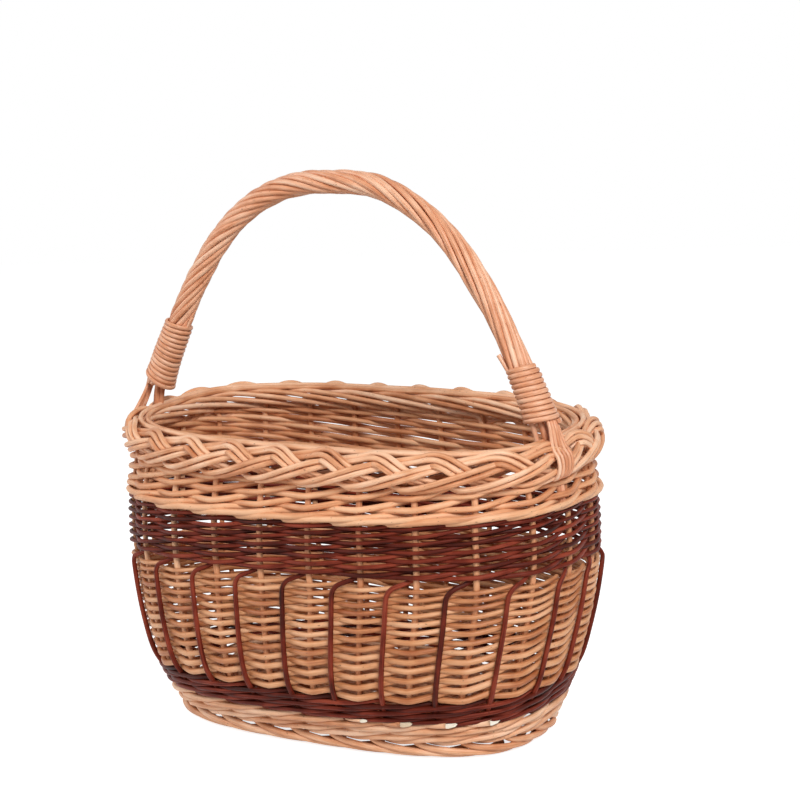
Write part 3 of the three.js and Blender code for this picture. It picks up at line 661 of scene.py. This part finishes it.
upper = Rods()
wale_ring(upper, **UPPER_WALE)
for stake in range(STAKE_COUNT):
    path, radius = randing(stake, **UPPER_WEAVE)
    path[:, 1] = UPPER_START + path[:, 1] / rim_stretch(path[:, 0])
    end = np.argmax(path[:, 1] > UPPER_END)
    upper.add(wall(*path[:end].T), radius[:end], UP)
make_piece("upper_weavers", upper, [STAKE], ["upper_weave"])

# Bottom wale, with the ends of four rods cut on a slant and left outside at the near corner

BOTTOM_WALE_LEVELS = (18.9, 28.0)
BOTTOM_WALE = dict(radius=2.6, spread=4.0)
BOTTOM_INNER_RING = dict(level=33.2, radius=2.3)
CUT_PLACES = (19.05, 19.9, 20.76, 21.57)
CUT_RADII = (1.5, 2.6, 2.6, 2.6)
CUT_ROUTE = ((-0.45, 33.0, 1.5), (-0.25, 34.0, 5.2), (0.0, 34.8, 7.4))
CUT_LEVEL = 34.0
CUT_SLANT = 2.7
CUT_SAMPLES = 6
bottom_wale = Rods()
for level in BOTTOM_WALE_LEVELS:
    wale_ring(bottom_wale, level, **BOTTOM_WALE)
inner_ring(bottom_wale, **BOTTOM_INNER_RING)
for place, radius in zip(CUT_PLACES, CUT_RADII):
    path = wall_path(place, CUT_ROUTE, CUT_SAMPLES)
    bottom_wale.add(path, radius, UP, end_skew=-CUT_SLANT * outward(place, CUT_LEVEL), cut=True)
make_piece("bottom_wale_rods", bottom_wale, [LIGHT, CUT], ["bottom_wale"])

# Dark wale

DARK_WALE_LEVELS = (36.8, 43.5, 50.2)
DARK_WALE = dict(radius=2.1, spread=3.3)
DARK_INNER_LEVELS = (40.2, 46.9, 53.4)
DARK_INNER_RADIUS = 1.9
dark_wale = Rods()
for level in DARK_WALE_LEVELS:
    wale_ring(dark_wale, level, **DARK_WALE)
for level in DARK_INNER_LEVELS:
    inner_ring(dark_wale, level, DARK_INNER_RADIUS)
make_piece("dark_wale_rods", dark_wale, [DARK], ["dark_wale"])

# Rolled foot: from every stake a rod runs down to the right over its neighbours and ends inside

FOOT_ROUTE = (
    (-0.02, 18.0, 0.0), (0.1, 13.8, 2.5), (0.4, 9.9, 5.5), (0.9, 7.4, 7.2), (1.4, 5.4, 6.8),
    (1.9, 3.7, 4.6), (2.4, 2.9, 1.0), (2.8, 3.8, -3.5), (3.2, 6.5, -6.0))
FOOT_RADIUS = 2.85
FOOT_SPREAD = (0.94, 1.02)
FOOT_SAMPLES = 6
foot = Rods()
for stake in range(STAKE_COUNT):
    foot.add(wall_path(stake, FOOT_ROUTE, FOOT_SAMPLES), FOOT_RADIUS * rng.uniform(*FOOT_SPREAD), UP)
make_piece("foot_rods", foot, [LIGHT], ["foot_border"])

# Woven base: rounds of thin rods over and under the sticks, and straight rods in the innermost round

BASE_INSET = 9.5
BASE_ROD_RADIUS = 2.05
BASE_ROD_LIFT = 3.9
BASE_ROD_DRIFT = (6, 0.3)
BASE_ROUND_PITCH = 4.5
BASE_ROUND_LEAST = 6.0
BASE_ROUND_SAMPLES = 240
CROSSING_SHARE = 0.97
MIDDLE_ROD_START = 4.8
MIDDLE_ROD_MARGIN = 2.5
MIDDLE_ROD_INSET = 6.0
MIDDLE_ROD_SAMPLES = 96
base_length, base_width = (float(size) - BASE_INSET for size in wall_half_sizes(np.array(BASE_MIDDLE)))


def base_crossings(half_length, half_width):
    """Angles on a round of the base where it meets the sticks."""
    meets = []
    for x in CROSS_STICKS[np.abs(CROSS_STICKS) < CROSSING_SHARE * half_length]:
        y = superellipse_reach(x, half_length, half_width)
        meets += [(x, y), (x, -y)]
    for y in LONG_STICKS[np.abs(LONG_STICKS) < CROSSING_SHARE * half_width]:
        x = superellipse_reach(y, half_width, half_length)
        meets += [(x, y), (-x, y)]
    power = PLAN_EXPONENT / 2
    return np.sort([
        math.atan2(signed_power(y / half_width, power), signed_power(x / half_length, power)) % FULL_TURN
        for x, y in meets
    ])


base = Rods()
angles = np.linspace(0, FULL_TURN, BASE_ROUND_SAMPLES, endpoint=False)
for index in range(int((base_width - BASE_ROUND_LEAST) / BASE_ROUND_PITCH)):
    half_length = base_length - BASE_ROUND_PITCH * index
    half_width = base_width - BASE_ROUND_PITCH * index
    meets = base_crossings(half_length, half_width)
    marks = np.concatenate([meets[-1:] - FULL_TURN, meets, meets[:1] + FULL_TURN])
    crossing = np.interp(angles, marks, np.arange(-1, len(meets) + 1))
    x, y = superellipse(angles, half_length, half_width)
    z = BASE_MIDDLE + BASE_ROD_LIFT * np.cos(np.pi * (crossing + index))
    z = z + drift(len(angles), *BASE_ROD_DRIFT, closed=True)
    base.add(np.stack([x, y, z], axis=-1), BASE_ROD_RADIUS, UP, closed=True)

middle_x = np.linspace(MIDDLE_ROD_INSET - half_length, half_length - MIDDLE_ROD_INSET, MIDDLE_ROD_SAMPLES)
for index, y in enumerate(np.arange(MIDDLE_ROD_START, half_width - MIDDLE_ROD_MARGIN, BASE_ROUND_PITCH)):
    for side in (-1, 1):
        z = BASE_MIDDLE + side * BASE_ROD_LIFT * np.cos(np.pi * (middle_x / CROSS_STICK_STEP + index))
        z = z + drift(len(middle_x), *BASE_ROD_DRIFT)
        base.add(np.stack([middle_x, np.full(len(middle_x), side * y), z], axis=-1), BASE_ROD_RADIUS, UP)
make_piece("base_rods", base, [LIGHT], ["base_weave"])

# Sticks of the base

STICK_OVERHANG = 1.5
STICK_DRIFT = (2, 0.8)
CROSS_STICK_SAMPLES = 24
CROSS_STICK_RADIUS = 2.6
CROSS_STICK_FLAT = 1.7
LONG_STICK_SAMPLES = 48
LONG_STICK_RADIUS = 1.8
LONG_STICK_FLAT = 1.6
sticks = Rods()
for x in CROSS_STICKS:
    reach = superellipse_reach(x, base_length, base_width) + STICK_OVERHANG
    line = np.linspace((x, -reach, BASE_MIDDLE), (x, reach, BASE_MIDDLE), CROSS_STICK_SAMPLES)
    line[:, 0] += drift(len(line), *STICK_DRIFT)
    sticks.add(line, CROSS_STICK_RADIUS, ALONG, flat=CROSS_STICK_FLAT)
for y in LONG_STICKS:
    reach = superellipse_reach(y, base_width, base_length) + STICK_OVERHANG
    line = np.linspace((-reach, y, BASE_MIDDLE), (reach, y, BASE_MIDDLE), LONG_STICK_SAMPLES)
    line[:, 1] += drift(len(line), *STICK_DRIFT)
    sticks.add(line, LONG_STICK_RADIUS, SIDE, flat=LONG_STICK_FLAT)
make_piece(
    "base_sticks", sticks, [STAKE],
    numbered("base_cross_stick", len(CROSS_STICKS)) + numbered("base_long_stick", len(LONG_STICKS)))

# Plaited border: four strands of two rods, bent over the rim

BORDER_BEND = 14.0
RIM_SPACING = 41.5
PLAIT_SAMPLES = 12
PLAIT_STRANDS = 4
PLAIT_REACH = 14.5
PLAIT_LAYER = 2.9
PLAIT_HURRY = 0.45
PLAIT_SWITCH = 0.25
PLAIT_SHARPNESS = 4
PLAIT_ROD_RADIUS = 2.3
PLAIT_ROD_STEP = 4.5
PLAIT_SIDE_DRIFT = (10, 0.5)
PLAIT_LAYER_DRIFT = (10, 0.4)


def border(place, across, layer):
    """Point of the plait at a place along the rim, a distance across the plait and one out of it."""
    x, y = superellipse(plan_angle(place), BORDER_HALF_LENGTH, BORDER_HALF_WIDTH)
    nx, ny = plan_normal(x, y, BORDER_HALF_LENGTH, BORDER_HALF_WIDTH)
    turn = across / BORDER_BEND
    out = (BORDER_BEND + layer) * np.cos(turn)
    x = x + nx * out
    y = y + ny * out
    z = BORDER_LEVEL + (BORDER_BEND + layer) * np.sin(turn)
    return np.stack([x, y, z - lean(x, y, z)], axis=-1)


def plait_line(place, strand, beside):
    """Place, distance across and layer of a rod of a strand, which drops quickly and climbs slowly.

    A dropping strand lies over its neighbours near the top and under them further down.
    """
    turn = FULL_TURN * (place + strand) / PLAIT_STRANDS
    phase = turn + PLAIT_HURRY * np.sin(turn)
    hurry = 1 + PLAIT_HURRY * np.cos(turn)
    slope = -PLAIT_REACH * np.cos(phase) * hurry * FULL_TURN / PLAIT_STRANDS
    run = np.hypot(RIM_SPACING, slope)
    height = -np.sin(phase)
    layer = PLAIT_LAYER * np.tanh(PLAIT_SHARPNESS * (height - PLAIT_SWITCH) * np.cos(phase))
    along = place - beside * slope / run / RIM_SPACING
    return along, PLAIT_REACH * height + beside * RIM_SPACING / run, layer


plait = Rods()
rim_places = closed_places(PLAIT_SAMPLES)
for strand in range(PLAIT_STRANDS):
    for rod in (-0.5, 0.5):
        beside = rod * PLAIT_ROD_STEP + drift(len(rim_places), *PLAIT_SIDE_DRIFT, closed=True)
        along, across, layer = plait_line(rim_places, strand, beside)
        layer = layer + drift(len(rim_places), *PLAIT_LAYER_DRIFT, closed=True)
        plait.add(border(along, across, layer), PLAIT_ROD_RADIUS, UP, closed=True)

# At each stake a third rod comes out of the plait, runs down beside a dropping strand and ends under the
# next. It lies deeper at both ends.
THIRD_ROD_STEPS = (-0.72, -0.5, 0.2, 0.45)
THIRD_ROD_DEPTHS = (7.0, 0.0, 0.0, 2.0)
THIRD_ROD_BESIDE = -1.45 * PLAIT_ROD_STEP
THIRD_ROD_RADIUS = 2.2
THIRD_ROD_SAMPLES = 16
steps = np.linspace(THIRD_ROD_STEPS[0], THIRD_ROD_STEPS[-1], THIRD_ROD_SAMPLES)
for stake in range(STAKE_COUNT):
    along, across, layer = plait_line(stake + steps, -stake, THIRD_ROD_BESIDE)
    layer = layer - np.interp(steps, THIRD_ROD_STEPS, THIRD_ROD_DEPTHS)
    plait.add(border(along, across, layer), THIRD_ROD_RADIUS, UP)

# Tops of the stakes, bent over to the right along the inside of the plait
STAKE_END_ROUTE = (
    (0.0, 240.0, 0.0), (0.1, 246.5, -1.5), (0.4, 250.0, -6.0), (1.0, 254.0, -11.0), (2.0, 260.0, -13.0),
    (2.8, 264.0, -11.5), (3.4, 263.5, -7.0), (3.9, 260.0, -2.0))
STAKE_END_SAMPLES = 8
STAKE_END_TILT = 0.3
for stake in range(STAKE_COUNT):
    path = wall_path(stake, STAKE_END_ROUTE, STAKE_END_SAMPLES)
    plait.add(path, STAKE_RADIUS, STAKE_END_TILT * UP + outward(stake, SHOULDER))

# Two rods laid along the top, inside the turns of the strands
TOP_ROD_ANGLES = np.radians([86, 112])
TOP_ROD_LAYER = -0.8
TOP_ROD_SIDE_DRIFT = (16, 0.8)
TOP_ROD_LAYER_DRIFT = (16, 0.5)
for angle in TOP_ROD_ANGLES:
    across = BORDER_BEND * angle + drift(len(rim_places), *TOP_ROD_SIDE_DRIFT, closed=True)
    layer = TOP_ROD_LAYER + drift(len(rim_places), *TOP_ROD_LAYER_DRIFT, closed=True)
    plait.add(border(rim_places, across, layer), PLAIT_ROD_RADIUS, UP, closed=True)
make_piece("border_plait", plait, [LIGHT], ["rim_border"])

# Line of the bow handle, on which places are counted in millimetres from the left tip

BOW_SHARES = (-0.97, -0.85, -0.7, -0.5, -0.25, 0, 0.25, 0.5, 0.7, 0.85, 0.97)
BOW_SAMPLES = 40


def leg_y(stake):
    """Sideways place of a leg, which stands in the wall just before its stake."""
    return float(wall(stake, SHOULDER)[1] - LEG_CLEARANCE * outward(stake, SHOULDER)[0])


left_leg_y, right_leg_y = map(leg_y, LEG_STAKES)


def bow_point(share):
    x = HANDLE_X + HANDLE_HALF_SPAN * share
    y = left_leg_y + (right_leg_y - left_leg_y) * (1 + share) / 2
    rise = HANDLE_RISE * (1 - abs(share) ** HANDLE_POWER)
    return x, y, HANDLE_FOOT + rise - lean(x, y, HANDLE_FOOT)


def leg_point(end, z):
    half_length, half_width = wall_half_sizes(np.array(z))
    y = left_leg_y if end < 0 else right_leg_y
    x = end * superellipse_reach(y, half_width, half_length)
    return x, y, z - lean(x, y, z)


handle_line = even_path(smooth_path([
    leg_point(-1, HANDLE_TIP), leg_point(-1, SHOULDER), *map(bow_point, BOW_SHARES),
    leg_point(1, SHOULDER), leg_point(1, HANDLE_TIP)], BOW_SAMPLES))
handle_places = np.arange(len(handle_line), dtype=float)
handle_end = handle_places[-1]
handle_tangents = unit(np.gradient(handle_line, axis=0))
handle_lift = handle_line[:, 2] - BORDER_TOP + lean(handle_line[:, 0], handle_line[:, 1], BORDER_TOP)
wrap_start = handle_places[handle_lift > WRAP_LIFTS[0]][0]
wrap_end = handle_places[handle_lift > WRAP_LIFTS[1]][-1]


def on_handle(place, table):
    return np.stack([np.interp(place, handle_places, table[:, axis]) for axis in range(3)], axis=-1)


def handle_point(place, angle, radius):
    """Points round the handle line, at an angle from its outer side towards the back."""
    outer = -np.cross(SIDE, on_handle(place, handle_tangents))
    radius = np.broadcast_to(radius, np.shape(place))[:, None]
    angle = np.broadcast_to(angle, np.shape(place))[:, None]
    return on_handle(place, handle_line) + radius * (np.cos(angle) * outer + np.sin(angle) * SIDE)


def flare(place):
    """How much thicker the rope is at its two ends, inside the bindings."""
    left, right = (turns * BINDING_PITCH + 3 * BINDING_LIFT for turns in BINDING_TURNS)
    from_end = np.minimum((place - wrap_start) / left, (wrap_end - place) / right)
    return WRAP_FLARE * np.clip(1 - from_end, 0, 1)


# Core of three rods, sharpened where they go down into the wall

CORE_RODS = 3
CORE_PHASE = 0.25
CORE_STEP = 4.0
CORE_RADIUS = 2.7
CORE_TIP_RADIUS = 1.6
CORE_TAPER = 1.6
core = Rods()
places = np.arange(0, handle_end, CORE_STEP)
from_tip = np.minimum(places / wrap_start, (handle_end - places) / (handle_end - wrap_end))
core_radius = CORE_TIP_RADIUS + (CORE_RADIUS - CORE_TIP_RADIUS) * np.clip(CORE_TAPER * from_tip, 0, 1)
for index in range(CORE_RODS):
    angle = FULL_TURN * (index + CORE_PHASE) / CORE_RODS
    core.add(handle_point(places, angle, core_radius), core_radius, SIDE)
make_piece("handle_core_rods", core, [HANDLE], ["handle_core"])

# Rope of rods, which is twisted more tightly at the left end

ROPE_RODS = 10
ROPE_ROD_RADIUS = 2.65
ROPE_SPREAD = (0.92, 1.08)
ROPE_STEP = 3.0
ROPE_PITCH_SHARES = (0, 0.45, 0.75, 1)
ROPE_PITCHES = (118, 165, 270, 380)
ROPE_ANGLE_DRIFT = (4, 0.12)
ROPE_RING_DRIFT = (5, 0.7)
rope = Rods()
places = np.arange(wrap_start, wrap_end, ROPE_STEP)
share = (places - wrap_start) / (wrap_end - wrap_start)
twist = -FULL_TURN * np.cumsum(ROPE_STEP / np.interp(share, ROPE_PITCH_SHARES, ROPE_PITCHES))
for index in range(ROPE_RODS):
    angle = FULL_TURN * index / ROPE_RODS + twist + drift(len(places), *ROPE_ANGLE_DRIFT)
    size = ROPE_ROD_RADIUS * rng.uniform(*ROPE_SPREAD)
    ring = WRAP_RADIUS - ROPE_ROD_RADIUS + flare(places) + drift(len(places), *ROPE_RING_DRIFT)
    rope.add(handle_point(places, angle, ring), size, SIDE)

# Ends of rope rods that stand up out of the bindings: which leg, the angle in degrees and the length
ROPE_ENDS = ((0, 20, 7), (0, 190, 12), (1, 212, 17))
ROPE_END_DEPTH = 20.0
ROPE_END_RINGS = (8.0, 12.6)
ROPE_END_RADIUS = 2.0
ROPE_END_SAMPLES = 10
binding_tops = (
    wrap_start + BINDING_LIFT + BINDING_TURNS[0] * BINDING_PITCH,
    wrap_end - BINDING_LIFT - BINDING_TURNS[1] * BINDING_PITCH)
for leg, degrees, length in ROPE_ENDS:
    upwards = (1, -1)[leg]
    places = binding_tops[leg] + upwards * np.linspace(-ROPE_END_DEPTH, length, ROPE_END_SAMPLES)
    rings = np.linspace(*ROPE_END_RINGS, ROPE_END_SAMPLES)
    rope.add(handle_point(places, math.radians(degrees), rings), ROPE_END_RADIUS, SIDE)
make_piece("handle_rope", rope, [HANDLE], ["handle_wrap"])

# Bindings, whose lowest turns swell over the fans of thin rods that come out under them and lie over the
# border

BINDING_SAMPLES = 24
BINDING_RADIUS = 1.5
BINDING_FLAT = 1.42
BINDING_CLEARANCE = 1.2
BINDING_DRIFT = (20, 0.3)
SWELL = 1.6
SWELL_TURNS = 2.5
FAN_RODS = 5
FAN_RADII = (1.5, 1.75)
FAN_SAMPLES = 6
FAN_CLEARANCE = 0.8
FAN_TOP_STEP = 2.5
FAN_TOP_ANGLE = math.radians(-14)
FAN_TOP_PLACES = np.array([-8.0, 4.0])
FAN_FOOT_STEP = 3.6
FAN_ANGLES = np.radians([40, 16, -8, -30, -44, -54])
FAN_LAYERS = np.array([3.6, 4.8, 5.6, 5.6, 4.0, -1.0])

# On the right one more rod goes down inside the wall
INNER_ROD_RADIUS = 2.1
INNER_ROD_RING = 8.5
INNER_ROD_ANGLE = math.radians(-135)
INNER_ROD_PLACES = np.array([-8.0, 2.0])
INNER_ROD_ROUTE = ((-0.1, 254.0, -14.0), (-0.3, 232.0, -10.0))


def binding_rod(leg, end, sleeve_end):
    turns = np.linspace(0, BINDING_TURNS[leg], BINDING_SAMPLES * BINDING_TURNS[leg])
    slant = np.linspace(*TURN_SLANTS[leg], len(turns)) * np.cos(FULL_TURN * turns)
    places = sleeve_end - end * (BINDING_LIFT + BINDING_PITCH * turns - slant)
    swell = SWELL * np.clip(1 - turns / SWELL_TURNS, 0, 1)
    swell = swell * np.clip(np.cos(FULL_TURN * turns - FAN_TOP_ANGLE), 0, 1)
    radius = WRAP_RADIUS + flare(places) + BINDING_CLEARANCE + swell + drift(len(turns), *BINDING_DRIFT)
    points = handle_point(places, FULL_TURN * turns, radius)
    binding = Rods()
    binding.add(points, BINDING_RADIUS, on_handle(places, handle_tangents), flat=BINDING_FLAT)
    return binding


def fan_rods(leg, end, sleeve_end):
    fan = Rods()
    leg_place = LEG_STAKES[leg] - LEG_CLEARANCE / RIM_SPACING
    for index in range(FAN_RODS):
        order = index - (FAN_RODS - 1) / 2
        angle = FAN_TOP_ANGLE + order * FAN_TOP_STEP / WRAP_RADIUS
        top = handle_point(sleeve_end + end * FAN_TOP_PLACES, angle, WRAP_RADIUS + FAN_CLEARANCE)
        foot_place = leg_place + end * (order * FAN_FOOT_STEP - FAN_SHIFTS[leg]) / RIM_SPACING
        low = border(foot_place, FAN_ANGLES * BORDER_BEND, FAN_LAYERS)
        path = smooth_path(np.vstack([top, low]), FAN_SAMPLES)
        fan.add(path, np.linspace(*FAN_RADII, len(path)), SIDE)
    if end > 0:
        top = handle_point(sleeve_end + INNER_ROD_PLACES, INNER_ROD_ANGLE, INNER_ROD_RING)
        low = wall(*route_from(leg_place, INNER_ROD_ROUTE).T)
        fan.add(smooth_path(np.vstack([top, low]), FAN_SAMPLES), INNER_ROD_RADIUS, SIDE)
    return fan


for leg, (side, end, sleeve_end) in enumerate((("left", -1, wrap_start), ("right", 1, wrap_end))):
    binding = binding_rod(leg, end, sleeve_end)
    make_piece(f"binding_{side}_rod", binding, [HANDLE], [f"handle_binding_{side}"])
    fan = fan_rods(leg, end, sleeve_end)
    make_piece(f"fan_{side}_rods", fan, [HANDLE], numbered(f"handle_fan_{side}", FAN_RODS))

# Camera at the photograph's viewing angle

CAMERA_AZIMUTH = math.radians(30.43)
CAMERA_ELEVATION = math.radians(5.95)
CAMERA_ROLL = math.radians(-1.79)
CAMERA_DISTANCE = 1400.0
CAMERA_SHIFT = (39.4, 279.6)
SENSOR_WIDTH = 36.0
FOCAL_PIXELS = 1560.0
IMAGE_PIXELS = 800.0


def placed(across, upwards, backwards, position):
    """Matrix of a camera or lamp from its axes and its position."""
    rows = list(zip(across, upwards, backwards, position))
    return Matrix(rows + [(0, 0, 0, 1)])


backwards = np.array([
    math.sin(CAMERA_AZIMUTH) * math.cos(CAMERA_ELEVATION),
    -math.cos(CAMERA_AZIMUTH) * math.cos(CAMERA_ELEVATION),
    math.sin(CAMERA_ELEVATION)])
level_right = np.array([math.cos(CAMERA_AZIMUTH), math.sin(CAMERA_AZIMUTH), 0.0])
level_up = np.cross(backwards, level_right)
position = backwards * CAMERA_DISTANCE + level_right * CAMERA_SHIFT[0] + level_up * CAMERA_SHIFT[1]
turned_right = level_right * math.cos(CAMERA_ROLL) + level_up * math.sin(CAMERA_ROLL)
turned_up = level_up * math.cos(CAMERA_ROLL) - level_right * math.sin(CAMERA_ROLL)
camera = bpy.data.objects.new("camera", bpy.data.cameras.new("camera"))
bpy.context.scene.collection.objects.link(camera)
camera.data.sensor_width = SENSOR_WIDTH
camera.data.lens = SENSOR_WIDTH * FOCAL_PIXELS / IMAGE_PIXELS
camera.matrix_world = placed(turned_right, turned_up, backwards, position * MM)
bpy.context.scene.camera = camera

# Pale floor, which is white to the camera but keeps the shadow

FLOOR_HALF = 30.0
FLOOR_DROP = 0.0005
FLOOR_GREY = 0.8
FLOOR_GLOW = 0.83
FLOOR_CORNERS = [
    (-FLOOR_HALF, -FLOOR_HALF, 0), (FLOOR_HALF, -FLOOR_HALF, 0),
    (FLOOR_HALF, FLOOR_HALF, 0), (-FLOOR_HALF, FLOOR_HALF, 0)]


def seen_directly(tree):
    """1 for rays from the camera, a mirror or glass."""
    path = tree.nodes.new("ShaderNodeLightPath")
    seen = math_node(tree, "MAXIMUM", path.outputs["Is Camera Ray"], path.outputs["Is Glossy Ray"])
    return math_node(tree, "MAXIMUM", seen, path.outputs["Is Transmission Ray"])


floor_material = bpy.data.materials.new("floor")
floor_material.use_nodes = True
tree = floor_material.node_tree
tree.nodes.clear()
diffuse = tree.nodes.new("ShaderNodeBsdfDiffuse")
diffuse.inputs["Color"].default_value = (FLOOR_GREY, FLOOR_GREY, FLOOR_GREY, 1)
glow = tree.nodes.new("ShaderNodeEmission")
link(tree, math_node(tree, "MULTIPLY", seen_directly(tree), FLOOR_GLOW), glow.inputs["Strength"])
total = tree.nodes.new("ShaderNodeAddShader")
link(tree, diffuse.outputs[0], total.inputs[0])
link(tree, glow.outputs[0], total.inputs[1])
output = tree.nodes.new("ShaderNodeOutputMaterial")
link(tree, total.outputs[0], output.inputs["Surface"])

floor_mesh = bpy.data.meshes.new("floor")
floor_mesh.from_pydata(FLOOR_CORNERS, [], [(0, 1, 2, 3)])
floor_mesh.materials.append(floor_material)
floor = bpy.data.objects.new("floor", floor_mesh)
bpy.context.scene.collection.objects.link(floor)
floor.location.z = -FLOOR_DROP

# Soft studio light

WORLD_LIGHT = 0.22
WORLD_SEEN = 1.0
LIGHT_TARGET = np.array([0.0, 0.0, 0.2])


def area_light(name, location, size, power):
    data = bpy.data.lights.new(name, "AREA")
    data.shape = "SQUARE"
    data.size = size
    data.energy = power
    lamp = bpy.data.objects.new(name, data)
    bpy.context.scene.collection.objects.link(lamp)
    backwards = unit(np.array(location) - LIGHT_TARGET)
    across = unit(np.cross(UP, backwards))
    lamp.matrix_world = placed(across, np.cross(backwards, across), backwards, location)


world = bpy.data.worlds.new("studio")
bpy.context.scene.world = world
world.use_nodes = True
tree = world.node_tree
tree.nodes.clear()
background = tree.nodes.new("ShaderNodeBackground")
background.inputs["Color"].default_value = (1, 1, 1, 1)
added = math_node(tree, "MULTIPLY", seen_directly(tree), WORLD_SEEN - WORLD_LIGHT)
link(tree, math_node(tree, "ADD", WORLD_LIGHT, added), background.inputs["Strength"])
output = tree.nodes.new("ShaderNodeOutputWorld")
link(tree, background.outputs[0], output.inputs["Surface"])

area_light("key", location=(1.65, -1.4, 1.7), size=1.0, power=52)
area_light("fill", location=(-1.8, -1.2, 1.2), size=1.4, power=20)

bpy.context.scene.view_settings.view_transform = "Standard"
